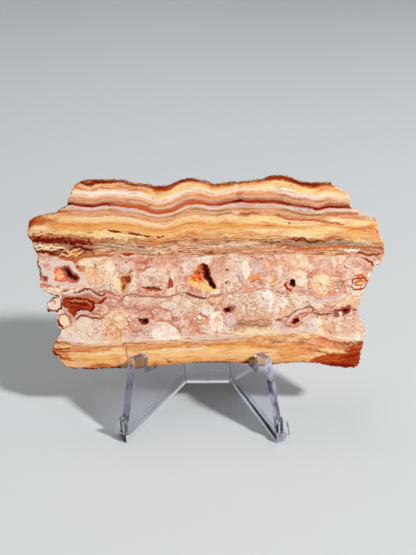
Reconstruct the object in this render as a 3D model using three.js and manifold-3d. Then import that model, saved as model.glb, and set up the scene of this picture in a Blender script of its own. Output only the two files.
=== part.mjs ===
// A polished slice of crazy lace agate standing on a clear acrylic easel stand.
// Millimetres, +Z up, the polished face looks towards -Y. The origin is the middle of the
// bounding box, on the ground.

import * as THREE from 'three';
import { mergeVertices } from 'three/addons/utils/BufferGeometryUtils.js';
import Module from 'manifold-3d';

const wasm = await Module();
wasm.setup();

// ---- driving dimensions -------------------------------------------------------------------

const LEAN = THREE.MathUtils.degToRad(17.5);        // the slab leans back by this much
const SLAB_THICKNESS = 6.0;
const RIM_STEP = 1.2;                               // length of one facet along the rough rim

const WALL = 3.0;                                   // acrylic wall
const FOOT_HALF_WIDTH = 31.2;                       // centre line of a wing at its front foot
const BACK_HALF_WIDTH = 10.9;                       // centre line of a wing at the back panel
const STAND_DEPTH = 43.2;                           // front feet to back panel, centre lines
const STAND_TOP = 60.0;
const BEND_RADIUS = 3.0;                            // centre line of the two upright bends
const NOTCH = { w: 17.8, z: 21.5 };                 // front corner of the seat, along the wing
const SEAT_DEPTH = 8.2;                             // square to the slab
const SEAT_FALL = THREE.MathUtils.degToRad(9);      // the seat falls away to the back
const PRONG_TIP = { w: 11.2, z: 31.8 };
const PRONG_BACK = { w: 20.5, z: 29.3 };
const RAIL_HEIGHT = 3.6;
const RAIL_WALL = 3.8;
const TOE_RUN = 0.6;                                // how far the rail runs past the wing's foot
const GATE_RADIUS = 0.9;                            // moulding gate mark on the back rail
const GATE_HEIGHT = 1.6;
const FACE_GAP = 1.2;                               // from the prongs back to the polished face

// ---- outline of the slice, seen square to its face ------------------------------------------
// x to the right from the middle of the stand, y up the face from the seat.

const topEdge = [
  [-48.6, 76.2], [-46.0, 78.0], [-42.0, 78.2], [-34.0, 78.0], [-29.0, 77.8], [-26.0, 76.5],
  [-20.0, 75.8], [-16.5, 75.0], [-12.0, 75.1], [-9.0, 76.2], [-6.0, 77.5], [-3.5, 78.0],
  [0.0, 77.5], [3.5, 76.6], [6.0, 75.4], [9.0, 75.4], [14.0, 76.0], [20.0, 76.2],
  [25.0, 76.7], [28.0, 78.0], [33.0, 78.1], [36.0, 77.5], [40.0, 75.7], [44.5, 75.0],
  [50.0, 75.2], [52.2, 75.0],
];
const rightEdge = [
  [53.2, 73.8], [55.2, 72.6], [58.0, 70.8], [59.2, 69.6], [59.6, 66.4], [60.3, 64.8],
  [62.4, 64.2], [63.2, 62.4], [66.0, 61.3], [69.2, 60.7], [70.0, 59.6], [70.5, 56.0],
  [71.6, 52.8], [72.8, 50.0], [73.0, 47.6], [72.2, 44.4], [70.8, 41.7], [69.4, 41.8],
  [68.4, 40.2], [67.4, 37.0], [65.6, 33.2], [64.0, 29.8], [63.4, 26.8], [62.7, 24.2],
  [63.0, 22.0], [64.4, 20.0], [65.4, 17.2], [65.3, 14.0], [64.8, 10.8], [63.8, 8.0],
  [63.4, 3.6],
];
const bottomEdge = [
  [62.6, 1.8], [60.6, 0.8], [56.0, 0.9], [51.0, 1.8], [45.0, 3.0], [40.0, 3.3], [33.0, 2.9],
  [27.0, 2.3], [21.0, 2.5], [15.0, 3.1], [7.0, 3.4], [0.0, 3.4], [-8.0, 2.9], [-16.0, 2.2],
  [-24.0, 1.7], [-30.0, 1.2], [-37.0, 1.3], [-44.0, 0.9], [-53.0, 1.0],
];
const leftEdge = [
  [-55.4, 1.9], [-58.2, 4.8], [-60.8, 7.4], [-61.6, 10.2], [-60.4, 12.2], [-58.8, 14.8],
  [-57.0, 17.6], [-58.9, 19.4], [-59.2, 22.8], [-58.3, 23.9], [-60.2, 24.9], [-61.8, 24.7],
  [-62.8, 26.2], [-62.3, 29.2], [-60.7, 30.6], [-58.2, 31.2], [-60.2, 31.8], [-63.2, 33.2],
  [-64.8, 34.9], [-64.8, 40.6], [-65.6, 45.0], [-65.2, 48.6], [-66.5, 50.6], [-67.2, 54.0],
  [-69.2, 56.2], [-68.4, 59.4], [-67.8, 62.4], [-66.0, 63.7], [-63.6, 64.5], [-59.4, 65.1],
  [-56.2, 66.0], [-54.4, 67.4], [-52.2, 68.2], [-51.6, 70.6], [-50.2, 73.2], [-49.6, 74.9],
];

// The rim swells out behind the polished face, more on the broken ends than on top and bottom.
const RIM_SETBACK = { top: 0.30, right: 0.60, bottom: 0.25, left: 0.40 };

// How far the broken rim wanders in and out on each side.
const RIM_CHIP = { top: 0.22, right: 0.32, bottom: 0.14, left: 0.34 };

// Hollows in the polished face: mouth as a ring of points, and how deep each one goes.
const hollows = [
  { depth: 3.2, mouth: [[-57.6, 39.4], [-56.8, 42.2], [-53.2, 43.6], [-51.4, 41.4],
    [-48.4, 38.8], [-49.8, 37.4], [-53.8, 38.0]] },
  { depth: 2.4, mouth: [[-31.2, 38.6], [-29.4, 39.6], [-27.6, 38.9], [-28.4, 36.2],
    [-30.6, 33.8], [-30.4, 36.6]] },
  { depth: 3.8, mouth: [[-3.6, 36.4], [-3.0, 39.6], [0.4, 41.6], [0.8, 43.8], [3.6, 43.0],
    [4.4, 39.4], [6.6, 34.6], [5.0, 33.4], [0.6, 35.0]] },
  { depth: 3.0, mouth: [[35.4, 36.2], [36.4, 37.2], [37.8, 36.6], [37.7, 34.8],
    [36.4, 34.5]] },
  { depth: 3.0, mouth: [[9.8, 24.4], [9.9, 25.9], [11.2, 26.8], [13.6, 26.9], [13.5, 25.4],
    [11.4, 24.5]] },
  { depth: 2.4, mouth: [[-25.4, 22.2], [-21.3, 22.0], [-21.2, 19.9], [-23.2, 19.8],
    [-24.8, 20.8]] },
  { depth: 2.2, mouth: [[53.2, 22.6], [53.4, 24.6], [58.6, 25.2], [58.4, 23.8],
    [55.6, 22.9]] },
  { depth: 2.0, mouth: [[36.4, 19.9], [38.4, 21.8], [39.2, 20.6], [38.6, 20.0]] },
  { depth: 1.4, mouth: [[-22.8, 33.7], [-22.6, 34.8], [-17.6, 34.8], [-15.6, 33.6],
    [-18.4, 33.4]] },
  { depth: 1.2, mouth: [[-63.4, 39.3], [-61.4, 39.4], [-61.8, 37.6], [-62.6, 37.9]] },
];

// ---- helpers ----------------------------------------------------------------------------------

// Triangles that fill one ring, wound the same way as the ring.
function capFaces(ring) {
  const contour = ring.map((p) => new THREE.Vector2(p.x, p.z));
  const sense = Math.sign(THREE.ShapeUtils.area(contour));
  return THREE.ShapeUtils.triangulateShape(contour, []).map(([a, b, c]) => {
    const same = THREE.ShapeUtils.area([contour[a], contour[b], contour[c]]) * sense > 0;
    return same ? [a, b, c] : [a, c, b];
  });
}

// A closed body made of equal rings of points, laid one behind the other and capped.
function ringBody(rings) {
  const count = rings[0].length;
  const positions = rings.flat().flatMap((p) => [p.x, p.y, p.z]);
  const index = [];
  for (let r = 0; r + 1 < rings.length; r++) {
    for (let i = 0; i < count; i++) {
      const a = r * count + i;
      const b = r * count + (i + 1) % count;
      index.push(a, b, b + count);
      index.push(a, b + count, a + count);
    }
  }
  const offset = (rings.length - 1) * count;
  for (const [a, b, c] of capFaces(rings[0])) index.push(a, c, b);
  for (const [a, b, c] of capFaces(rings[rings.length - 1])) {
    index.push(offset + a, offset + b, offset + c);
  }
  const geometry = new THREE.BufferGeometry();
  geometry.setAttribute('position', new THREE.Float32BufferAttribute(positions, 3));
  geometry.setIndex(index);
  return outward(geometry);
}

// Turns every face of a closed body the other way when the body is inside out.
function outward(geometry) {
  const p = geometry.getAttribute('position');
  const index = geometry.getIndex();
  const a = new THREE.Vector3();
  const b = new THREE.Vector3();
  const c = new THREE.Vector3();
  let volume = 0;
  for (let i = 0; i < index.count; i += 3) {
    a.fromBufferAttribute(p, index.getX(i));
    b.fromBufferAttribute(p, index.getX(i + 1));
    c.fromBufferAttribute(p, index.getX(i + 2));
    volume += a.dot(b.cross(c));
  }
  if (volume < 0) {
    for (let i = 0; i < index.count; i += 3) {
      const keep = index.getX(i);
      index.setX(i, index.getX(i + 1));
      index.setX(i + 1, keep);
    }
  }
  return geometry;
}

function solidOf(geometry) {
  const bare = geometry.clone();
  bare.deleteAttribute('normal');
  bare.deleteAttribute('uv');
  const merged = outward(mergeVertices(bare, 1e-4));
  return new wasm.Manifold(new wasm.Mesh({
    numProp: 3,
    vertProperties: Float32Array.from(merged.getAttribute('position').array),
    triVerts: Uint32Array.from(merged.getIndex().array),
  }));
}

function geometryOf(solid) {
  const mesh = solid.getMesh();
  const geometry = new THREE.BufferGeometry();
  geometry.setAttribute('position', new THREE.Float32BufferAttribute(mesh.vertProperties, 3));
  geometry.setIndex(Array.from(mesh.triVerts));
  geometry.computeVertexNormals();
  return geometry;
}

// ---- the slab -----------------------------------------------------------------------------------

// Walks the outline in even steps and notes which side of the slice each step is on.
function walkOutline() {
  const sides = { top: topEdge, right: rightEdge, bottom: bottomEdge, left: leftEdge };
  const corners = [];
  for (const [side, points] of Object.entries(sides)) {
    for (const [x, y] of points) corners.push({ x, y, side });
  }
  const steps = [];
  corners.forEach((from, i) => {
    const to = corners[(i + 1) % corners.length];
    const length = Math.hypot(to.x - from.x, to.y - from.y);
    const pieces = Math.max(1, Math.round(length / RIM_STEP));
    for (let k = 0; k < pieces; k++) {
      const t = k / pieces;
      steps.push({
        x: from.x + (to.x - from.x) * t,
        y: from.y + (to.y - from.y) * t,
        side: from.side,
      });
    }
  });
  return steps;
}

// Repeatable wander of the broken rim: slow waves along it, different at every depth.
function wander(i, depth) {
  return 0.6 * Math.sin(i * 1.7 + depth * 2.1) + 0.4 * Math.sin(i * 0.61 - depth * 3.7 + 1.0);
}

function slabRing(steps, depth, grow, chip) {
  const count = steps.length;
  return steps.map((p, i) => {
    const before = steps[(i + count - 1) % count];
    const after = steps[(i + 1) % count];
    const run = Math.hypot(after.x - before.x, after.y - before.y);
    const outX = -(after.y - before.y) / run;
    const outY = (after.x - before.x) / run;
    const move = grow * RIM_SETBACK[p.side] + chip * RIM_CHIP[p.side] * wander(i, depth);
    return new THREE.Vector3(p.x + outX * move, depth, p.y + outY * move);
  });
}

function makeSlab() {
  const steps = walkOutline();
  const rings = [
    slabRing(steps, 0.0, -1.0, 0.3),
    slabRing(steps, 0.9, -0.15, 0.5),
    slabRing(steps, 2.6, 0.0, 1.0),
    slabRing(steps, 4.6, 0.2, 1.0),
    slabRing(steps, SLAB_THICKNESS, -0.4, 0.5),
  ];
  let slab = solidOf(ringBody(rings));
  for (const { depth, mouth } of hollows) {
    const middle = mouth.reduce((sum, [x, y]) => [sum[0] + x, sum[1] + y], [0, 0]);
    const centreX = middle[0] / mouth.length;
    const centreY = middle[1] / mouth.length;
    const level = (at, size) => mouth.map(([x, y]) => new THREE.Vector3(
      centreX + (x - centreX) * size, at, centreY + (y - centreY) * size));
    const well = [level(-0.5, 1.06), level(0.0, 1.0), level(depth * 0.6, 0.78), level(depth, 0.4)];
    slab = slab.subtract(solidOf(ringBody(well)));
  }
  return geometryOf(slab);
}

// ---- the stand ------------------------------------------------------------------------------------

const wingRun = Math.hypot(FOOT_HALF_WIDTH - BACK_HALF_WIDTH, STAND_DEPTH);
const wingDirection = {
  x: (BACK_HALF_WIDTH - FOOT_HALF_WIDTH) / wingRun,   // right wing, from its foot to the back
  y: STAND_DEPTH / wingRun,
};

// One wall seen from above: a U with two rounded bends, offset to each side of its centre line.
function uWall(thickness, forward, height) {
  const foot = new THREE.Vector2(
    FOOT_HALF_WIDTH - wingDirection.x * forward, -wingDirection.y * forward);
  const side = (offset) => {
    const outX = wingDirection.y;
    const outY = -wingDirection.x;
    const bend = Math.atan2(outY, outX);              // outward direction of the right wing
    const tangentBack = BEND_RADIUS * Math.tan((Math.PI / 2 - bend) / 2);
    const centreX = BACK_HALF_WIDTH - tangentBack;
    const centreY = STAND_DEPTH - BEND_RADIUS;
    const half = [new THREE.Vector2(foot.x + outX * offset, foot.y + outY * offset)];
    for (let k = 0; k <= 5; k++) {
      const angle = bend + (Math.PI / 2 - bend) * k / 5;
      half.push(new THREE.Vector2(
        centreX + Math.cos(angle) * (BEND_RADIUS + offset),
        centreY + Math.sin(angle) * (BEND_RADIUS + offset)));
    }
    const mirrored = half.slice().reverse().map((p) => new THREE.Vector2(-p.x, p.y));
    return half.concat(mirrored);
  };
  const outline = side(thickness / 2).concat(side(-thickness / 2).reverse());
  const shape = new THREE.Shape(outline);
  return solidOf(new THREE.ExtrudeGeometry(shape, { depth: height, bevelEnabled: false }));
}

// Stands a flat profile up in the plane of one wing: x along the wing from its foot, y up.
function inWing(shape, thickness, hand) {
  const geometry = new THREE.ExtrudeGeometry(shape, {
    depth: thickness, bevelEnabled: false, curveSegments: 5 });
  geometry.translate(0, 0, -thickness / 2);
  const along = new THREE.Vector3(hand * wingDirection.x, wingDirection.y, 0);
  const up = new THREE.Vector3(0, 0, 1);
  const across = new THREE.Vector3().crossVectors(along, up);
  const place = new THREE.Matrix4().makeBasis(along, up, across);
  place.setPosition(hand * FOOT_HALF_WIDTH, 0, 0);
  return solidOf(geometry.applyMatrix4(place));
}

// What is cut away from a wing: everything in front of it and above it.
function aboveWing() {
  const seatBack = {
    y: NOTCH.w * wingDirection.y + SEAT_DEPTH * Math.cos(LEAN),
    z: NOTCH.z - SEAT_DEPTH * Math.sin(LEAN),
  };
  const rise = SEAT_DEPTH * Math.tan(LEAN - SEAT_FALL);
  seatBack.y += rise * Math.sin(LEAN);
  seatBack.z += rise * Math.cos(LEAN);
  const seatW = seatBack.y / wingDirection.y;
  const restW = seatW + (STAND_TOP - seatBack.z) * Math.tan(LEAN) / wingDirection.y;
  const slope = PRONG_TIP.w / PRONG_TIP.z;
  const shape = new THREE.Shape();
  shape.moveTo(-30, -5);
  shape.lineTo(-5 * slope, -5);
  shape.lineTo(PRONG_TIP.w - 0.5 * slope, PRONG_TIP.z - 0.5);
  shape.quadraticCurveTo(PRONG_TIP.w, PRONG_TIP.z, PRONG_TIP.w + 0.5, PRONG_TIP.z - 0.13);
  shape.lineTo(PRONG_BACK.w - 1.5, PRONG_BACK.z + 0.4);
  shape.quadraticCurveTo(PRONG_BACK.w, PRONG_BACK.z, PRONG_BACK.w - 0.5, PRONG_BACK.z - 1.5);
  shape.lineTo(NOTCH.w + 0.1, NOTCH.z + 0.3);
  shape.quadraticCurveTo(NOTCH.w, NOTCH.z, NOTCH.w + 0.4, NOTCH.z - 0.06);
  shape.lineTo(seatW, seatBack.z);
  shape.lineTo(restW - 1.6 * Math.tan(LEAN), STAND_TOP - 1.6);
  shape.quadraticCurveTo(restW, STAND_TOP, restW + 1.6, STAND_TOP);
  shape.lineTo(restW + 1.6, STAND_TOP + 20);
  shape.lineTo(-30, STAND_TOP + 20);
  return shape;
}

// A small three-sided web that props the outside of each front foot.
function toeWeb(hand) {
  const shape = new THREE.Shape();
  shape.moveTo(-1.0, 0);
  shape.lineTo(4.4, 0);
  shape.lineTo(4.1, 2.2);
  shape.lineTo(3.2, 7.0);
  shape.lineTo(-1.0, 12.0);
  const geometry = new THREE.ExtrudeGeometry(shape, { depth: 2.2, bevelEnabled: false });
  geometry.translate(0, 0, -1.1);
  const along = new THREE.Vector3(hand * Math.SQRT1_2, Math.SQRT1_2, 0);
  const up = new THREE.Vector3(0, 0, 1);
  const place = new THREE.Matrix4().makeBasis(along, up, along.clone().cross(up));
  place.setPosition(hand * (FOOT_HALF_WIDTH - 0.2), 1.4, 0);
  return solidOf(geometry.applyMatrix4(place));
}

function makeStand() {
  let stand = uWall(WALL, 0.8, STAND_TOP);
  for (const hand of [1, -1]) {
    stand = stand.subtract(inWing(aboveWing(), 16, hand));
  }
  stand = stand.add(uWall(RAIL_WALL, TOE_RUN, RAIL_HEIGHT));
  for (const hand of [1, -1]) {
    stand = stand.add(toeWeb(hand));
  }
  const gateMark = new THREE.CylinderGeometry(GATE_RADIUS, GATE_RADIUS, 1.2, 12);
  gateMark.translate(0, STAND_DEPTH - RAIL_WALL / 2, GATE_HEIGHT);
  stand = stand.add(solidOf(gateMark));
  return geometryOf(stand);
}

// ---- the object ---------------------------------------------------------------------------------------

const slab = new THREE.Mesh(makeSlab(), new THREE.MeshStandardMaterial({
  color: 0xd9a886, roughness: 0.18, metalness: 0.0 }));
slab.name = 'agate_slab';
slab.position.set(0, NOTCH.w * wingDirection.y + FACE_GAP * Math.cos(LEAN),
  NOTCH.z - FACE_GAP * Math.sin(LEAN));
slab.rotation.x = -LEAN;

const stand = new THREE.Mesh(makeStand(), new THREE.MeshStandardMaterial({
  color: 0xd8dce6, roughness: 0.06, metalness: 0.0 }));
stand.name = 'acrylic_stand';

const group = new THREE.Group();
group.add(slab, stand);
group.updateMatrixWorld(true);
const box = new THREE.Box3().setFromObject(group, true);
group.position.set(-(box.min.x + box.max.x) / 2, -(box.min.y + box.max.y) / 2, -box.min.z);
group.updateMatrixWorld(true);

export default group;
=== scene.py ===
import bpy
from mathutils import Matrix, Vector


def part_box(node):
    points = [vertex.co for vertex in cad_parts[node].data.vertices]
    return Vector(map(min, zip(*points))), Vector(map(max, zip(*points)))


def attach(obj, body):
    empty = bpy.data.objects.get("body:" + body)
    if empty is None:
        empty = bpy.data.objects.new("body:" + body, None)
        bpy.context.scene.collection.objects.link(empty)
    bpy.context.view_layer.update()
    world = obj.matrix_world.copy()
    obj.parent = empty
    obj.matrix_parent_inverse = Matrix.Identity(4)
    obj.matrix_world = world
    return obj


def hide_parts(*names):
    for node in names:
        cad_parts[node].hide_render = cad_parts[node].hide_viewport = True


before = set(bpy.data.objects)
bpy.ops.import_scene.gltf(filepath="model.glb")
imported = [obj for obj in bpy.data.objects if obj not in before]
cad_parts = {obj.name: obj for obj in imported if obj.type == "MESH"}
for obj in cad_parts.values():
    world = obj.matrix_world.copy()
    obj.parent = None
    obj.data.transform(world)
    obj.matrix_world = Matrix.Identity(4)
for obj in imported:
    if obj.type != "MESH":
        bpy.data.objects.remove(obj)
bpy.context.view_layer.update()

import math
import bmesh
import bpy
import numpy as np
from mathutils import Matrix, Vector, noise
from mathutils.geometry import delaunay_2d_cdt

# The slab
# A slice sawn from a nodule of crazy lace agate and polished, its rim left as the nodule's broken
# skin: chalcedony that grew in layers at top and bottom and in lace round small hollows between.

# Lengths are in mm until the slab is stood up.
LEAN = math.radians(17.5)
THICKNESS = 6.0
RIM_SPACING = 0.40                  # between places along the rim
FRONT_SPACING = 0.46                # between the corners of the front face's triangles
BACK_SPACING = 1.6
CLOSEST = 0.24                      # corners nearer than about this are left out
EDGE_ROOM = 0.2                     # between the edge of a face and the corners inside it
ROW_RISE = 0.866                    # between rows of corners, as a share of their spacing
SHAKE = 0.6                         # how far noise moves the lines of the tables
WALL_RUN = 0.9                      # from a hollow's mouth in to its full depth
CRACK_DEPTH = 0.7
NEXT_TO = 2.5                       # a place this near a shape has its colour too
FAR = 9.0                           # stands for any distance too long to matter

# In every table the points of a line or ring are written across,up: across from the middle of
# the stand, up the polished face from the seat.

# The four sides of the outline, clockwise from the top left: how far the face's edge stands back
# from the widest part of the rim, and the corners.
sides = [
    (0.30, [-48.6,76.2, -46,78, -42,78.2, -34,78, -29,77.8, -26,76.5, -20,75.8, -16.5,75, -12,75.1,
        -9,76.2, -6,77.5, -3.5,78, 0,77.5, 3.5,76.6, 6,75.4, 9,75.4, 14,76, 20,76.2, 25,76.7,
        28,78, 33,78.1, 36,77.5, 40,75.7, 44.5,75, 50,75.2, 52.2,75]),
    (0.60, [53.2,73.8, 55.2,72.6, 58,70.8, 59.2,69.6, 59.6,66.4, 60.3,64.8, 62.4,64.2, 63.2,62.4,
        66,61.3, 69.2,60.7, 70,59.6, 70.5,56, 71.6,52.8, 72.8,50, 73,47.6, 72.2,44.4, 70.8,41.7,
        69.4,41.8, 68.4,40.2, 67.4,37, 65.6,33.2, 64,29.8, 63.4,26.8, 62.7,24.2, 63,22, 64.4,20,
        65.4,17.2, 65.3,14, 64.8,10.8, 63.8,8, 63.4,3.6]),
    (0.25, [62.6,1.8, 60.6,0.8, 56,0.9, 51,1.8, 45,3, 40,3.3, 33,2.9, 27,2.3, 21,2.5, 15,3.1,
        7,3.4, 0,3.4, -8,2.9, -16,2.2, -24,1.7, -30,1.2, -37,1.3, -44,0.9, -53,1]),
    (0.40, [-55.4,1.9, -58.2,4.8, -60.8,7.4, -61.6,10.2, -60.4,12.2, -58.8,14.8, -57,17.6,
        -58.9,19.4, -59.2,22.8, -58.3,23.9, -60.2,24.9, -61.8,24.7, -62.8,26.2, -62.3,29.2,
        -60.7,30.6, -58.2,31.2, -60.2,31.8, -63.2,33.2, -64.8,34.9, -64.8,40.6, -65.6,45,
        -65.2,48.6, -66.5,50.6, -67.2,54, -69.2,56.2, -68.4,59.4, -67.8,62.4, -66,63.7, -63.6,64.5,
        -59.4,65.1, -56.2,66, -54.4,67.4, -52.2,68.2, -51.6,70.6, -50.2,73.2, -49.6,74.9])]

# Hollows that stayed open: depth and the ring of the mouth.
hollow_mouths = [
    (2, [-57.6,39.4, -56.8,42.2, -53.2,43.6, -51.4,41.4, -48.4,38.8, -49.8,37.4, -53.8,38]),
    (0.8, [-31.2,38.6, -29.4,39.6, -27.6,38.9, -28.4,36.2, -30.6,33.8, -30.4,36.6]),
    (2.4, [-3.6,36.4, -3,39.6, 0.4,41.6, 0.8,43.8, 3.6,43, 4.4,39.4, 6.6,34.6, 5,33.4, 0.6,35]),
    (3, [35.4,36.2, 36.4,37.2, 37.8,36.6, 37.7,34.8, 36.4,34.5]),
    (3, [9.6,24.2, 9.7,25.6, 10.6,26.2, 11.7,26, 11.8,24.8, 10.8,24.2]),
    (1.8, [-25.4,22.2, -21.3,22, -21.2,19.9, -23.2,19.8, -24.8,20.8]),
    (1.6, [54,23.6, 54.6,24.8, 58.6,25.2, 58.4,23.8, 56.6,23.2]),
    (2, [36.4,19.9, 38.4,21.8, 39.2,20.6, 38.6,20]),
    (1.4, [-22.8,33.7, -22.6,34.8, -17.6,34.8, -15.6,33.6, -18.4,33.4]),
    (1.2, [-63.4,39.3, -61.4,39.4, -61.8,37.6, -62.6,37.9])]

# Growth lines: the height of one layer of the stone at a few places along the slab. The first
# number is the layer's own level, the same all along it.
growth_lines = [
    (77.2, [-70,77.5, -50,77.5, -46,78, -42,77.2, -36,77.6, -29,77.6, -26,76.5, -20,75.8, -17,75,
        -15,74.3, -12,74.8, -9,76, -6,77.4, -3.5,77.8, 0,77.2, 4,76.2, 7,75.2, 12,75.8, 20,76.2,
        26,76.9, 30,77.9, 34,77.9, 37,76.8, 40,75.3, 45,74.4, 47,74.2, 50,75, 56,73, 60,72,
        75,70]),
    (73.2, [-70,72.8, -52,72.6, -46,72.4, -42,71.8, -36,72.2, -30,72, -24,71.6, -20,70.5, -16,69,
        -12,69.6, -8,71.3, -5,72.6, -2,73.2, 2,73, 6,71.8, 10,72, 15,72.8, 20,73.4, 26,73.2,
        30,72.6, 35,71.4, 40,69.9, 44,69, 47,69.2, 51,70.2, 56,69.4, 60,68.6, 75,67]),
    (68.1, [-70,69, -52,68.6, -50,68.9, -48,68.3, -45,67.8, -42,67.5, -40,67.7, -37,68.2, -33,68.1,
        -30,67.5, -25,66.8, -21,66.2, -19,64.9, -16,64.3, -13,64.4, -10,64.9, -7,66.4, -4,67.9,
        -1,68.2, 2,67.9, 5,67, 8,67.1, 11,67.7, 15,68.3, 17,68.6, 20,68, 24,68.1, 27,67.8, 30,67.9,
        33,67.2, 37,66, 41,65.1, 45,64.5, 47,64.4, 51,65.3, 55,65.1, 60,65.1, 75,64]),
    (65.6, [-70,65.8, -60,65.6, -50,65.8, -45,65.2, -40,65.4, -35,65.7, -30,65, -24,64.2, -19,62.8,
        -15,62.3, -11,62.9, -7,64.2, -4,65.4, 0,65.6, 4,65, 8,64.5, 13,65.2, 20,65.2, 28,65,
        34,64.2, 38,63, 43,62.2, 48,62.4, 52,63.2, 60,62.6, 66,62, 75,61]),
    (60, [-70,61.5, -60,61, -50,60.4, -42,59.9, -35,60.3, -30,60, -25,59.4, -20,58, -15,57.4,
        -10,58, -5,59.6, 0,60, 5,59, 10,59.5, 15,59, 20,58.6, 30,58.2, 37,57.5, 44,57, 52,57.8,
        60,56.8, 66,56, 75,55]),
    (55.5, [-70,57.5, -60,57.6, -50,57, -43,57, -36,57.6, -30,56.6, -24,56, -20,55.2, -15,54.6,
        -10,54.8, -5,55.6, 0,55.5, 6,55, 12,55.2, 18,54.8, 24,54.4, 30,54.4, 36,54.2, 42,53.6,
        48,53.6, 54,54.2, 60,53, 66,52.8, 75,51.5]),
    (51.6, [-70,53.5, -55,53, -45,52.3, -35,51.6, -28,51, -20,50.6, -10,51.2, 0,51.6, 10,51.6,
        20,51.6, 30,51.6, 38,51, 45,51.2, 52,51.8, 60,51.2, 66,50.8, 75,49]),
    (47, [-70,48.5, -60,48.2, -55,47, -50,46.6, -46,47.6, -40,47.6, -33,48.2, -27,48, -20,47.4,
        -15,46.6, -8,47, 0,47, 10,46.8, 20,47, 30,47.2, 38,47.4, 46,46.6, 54,46, 62,46.6,
        75,45.5]),
    (13, [-65,12.8, -57,12.4, -52,11.6, -46,10.9, -38,11, -30,11.4, -24,12, -18,12.4, -10,12.7,
        -4,12.6, 4,13, 12,13.4, 20,14.5, 26,15, 32,15, 38,15.4, 43,15, 48,14, 54,12.6, 60,11.8,
        70,11.8]),
    (10.6, [-65,10.4, -55,10, -48,9.6, -40,10.3, -30,10.6, -20,10.2, -10,10.4, 0,10.6, 10,11.4,
        20,11, 26,10.4, 34,10.6, 40,10.8, 46,9.8, 52,8.9, 58,8, 70,7.4]),
    (2, [-70,1, -30,1.2, -10,2.6, 0,3.2, 10,3.2, 30,2.5, 40,3, 50,1.8, 60,0.8, 75,0.5])]

# The colours that the stone is painted in, as they look on a screen.
stone_colours = {
    "soot": (66, 12, 5), "oxblood": (104, 26, 9), "garnet": (136, 36, 9),
    "cinnabar": (164, 56, 14), "rust": (190, 96, 46), "flame": (214, 96, 34),
    "tangerine": (226, 130, 40), "amber": (228, 148, 68), "gold": (238, 174, 94),
    "honey": (244, 192, 124), "straw": (253, 220, 152), "cream": (251, 226, 182),
    "ivory": (243, 222, 198), "chalk": (252, 238, 222), "dove": (229, 210, 200),
    "lilac": (216, 186, 178), "peach": (243, 192, 148), "apricot": (240, 154, 96),
    "salmon": (230, 152, 114), "rose": (226, 172, 150), "copper": (206, 126, 76),
    "russet": (194, 112, 84), "mauve": (182, 116, 98), "plum": (124, 56, 48),
    "umber": (136, 80, 40), "bark": (94, 44, 20), "olive": (164, 124, 68),
    "grey": (178, 148, 122), "slate": (148, 122, 100), "brick": (166, 60, 26),
    "mustard": (206, 156, 84), "bone": (230, 210, 180)}

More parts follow.
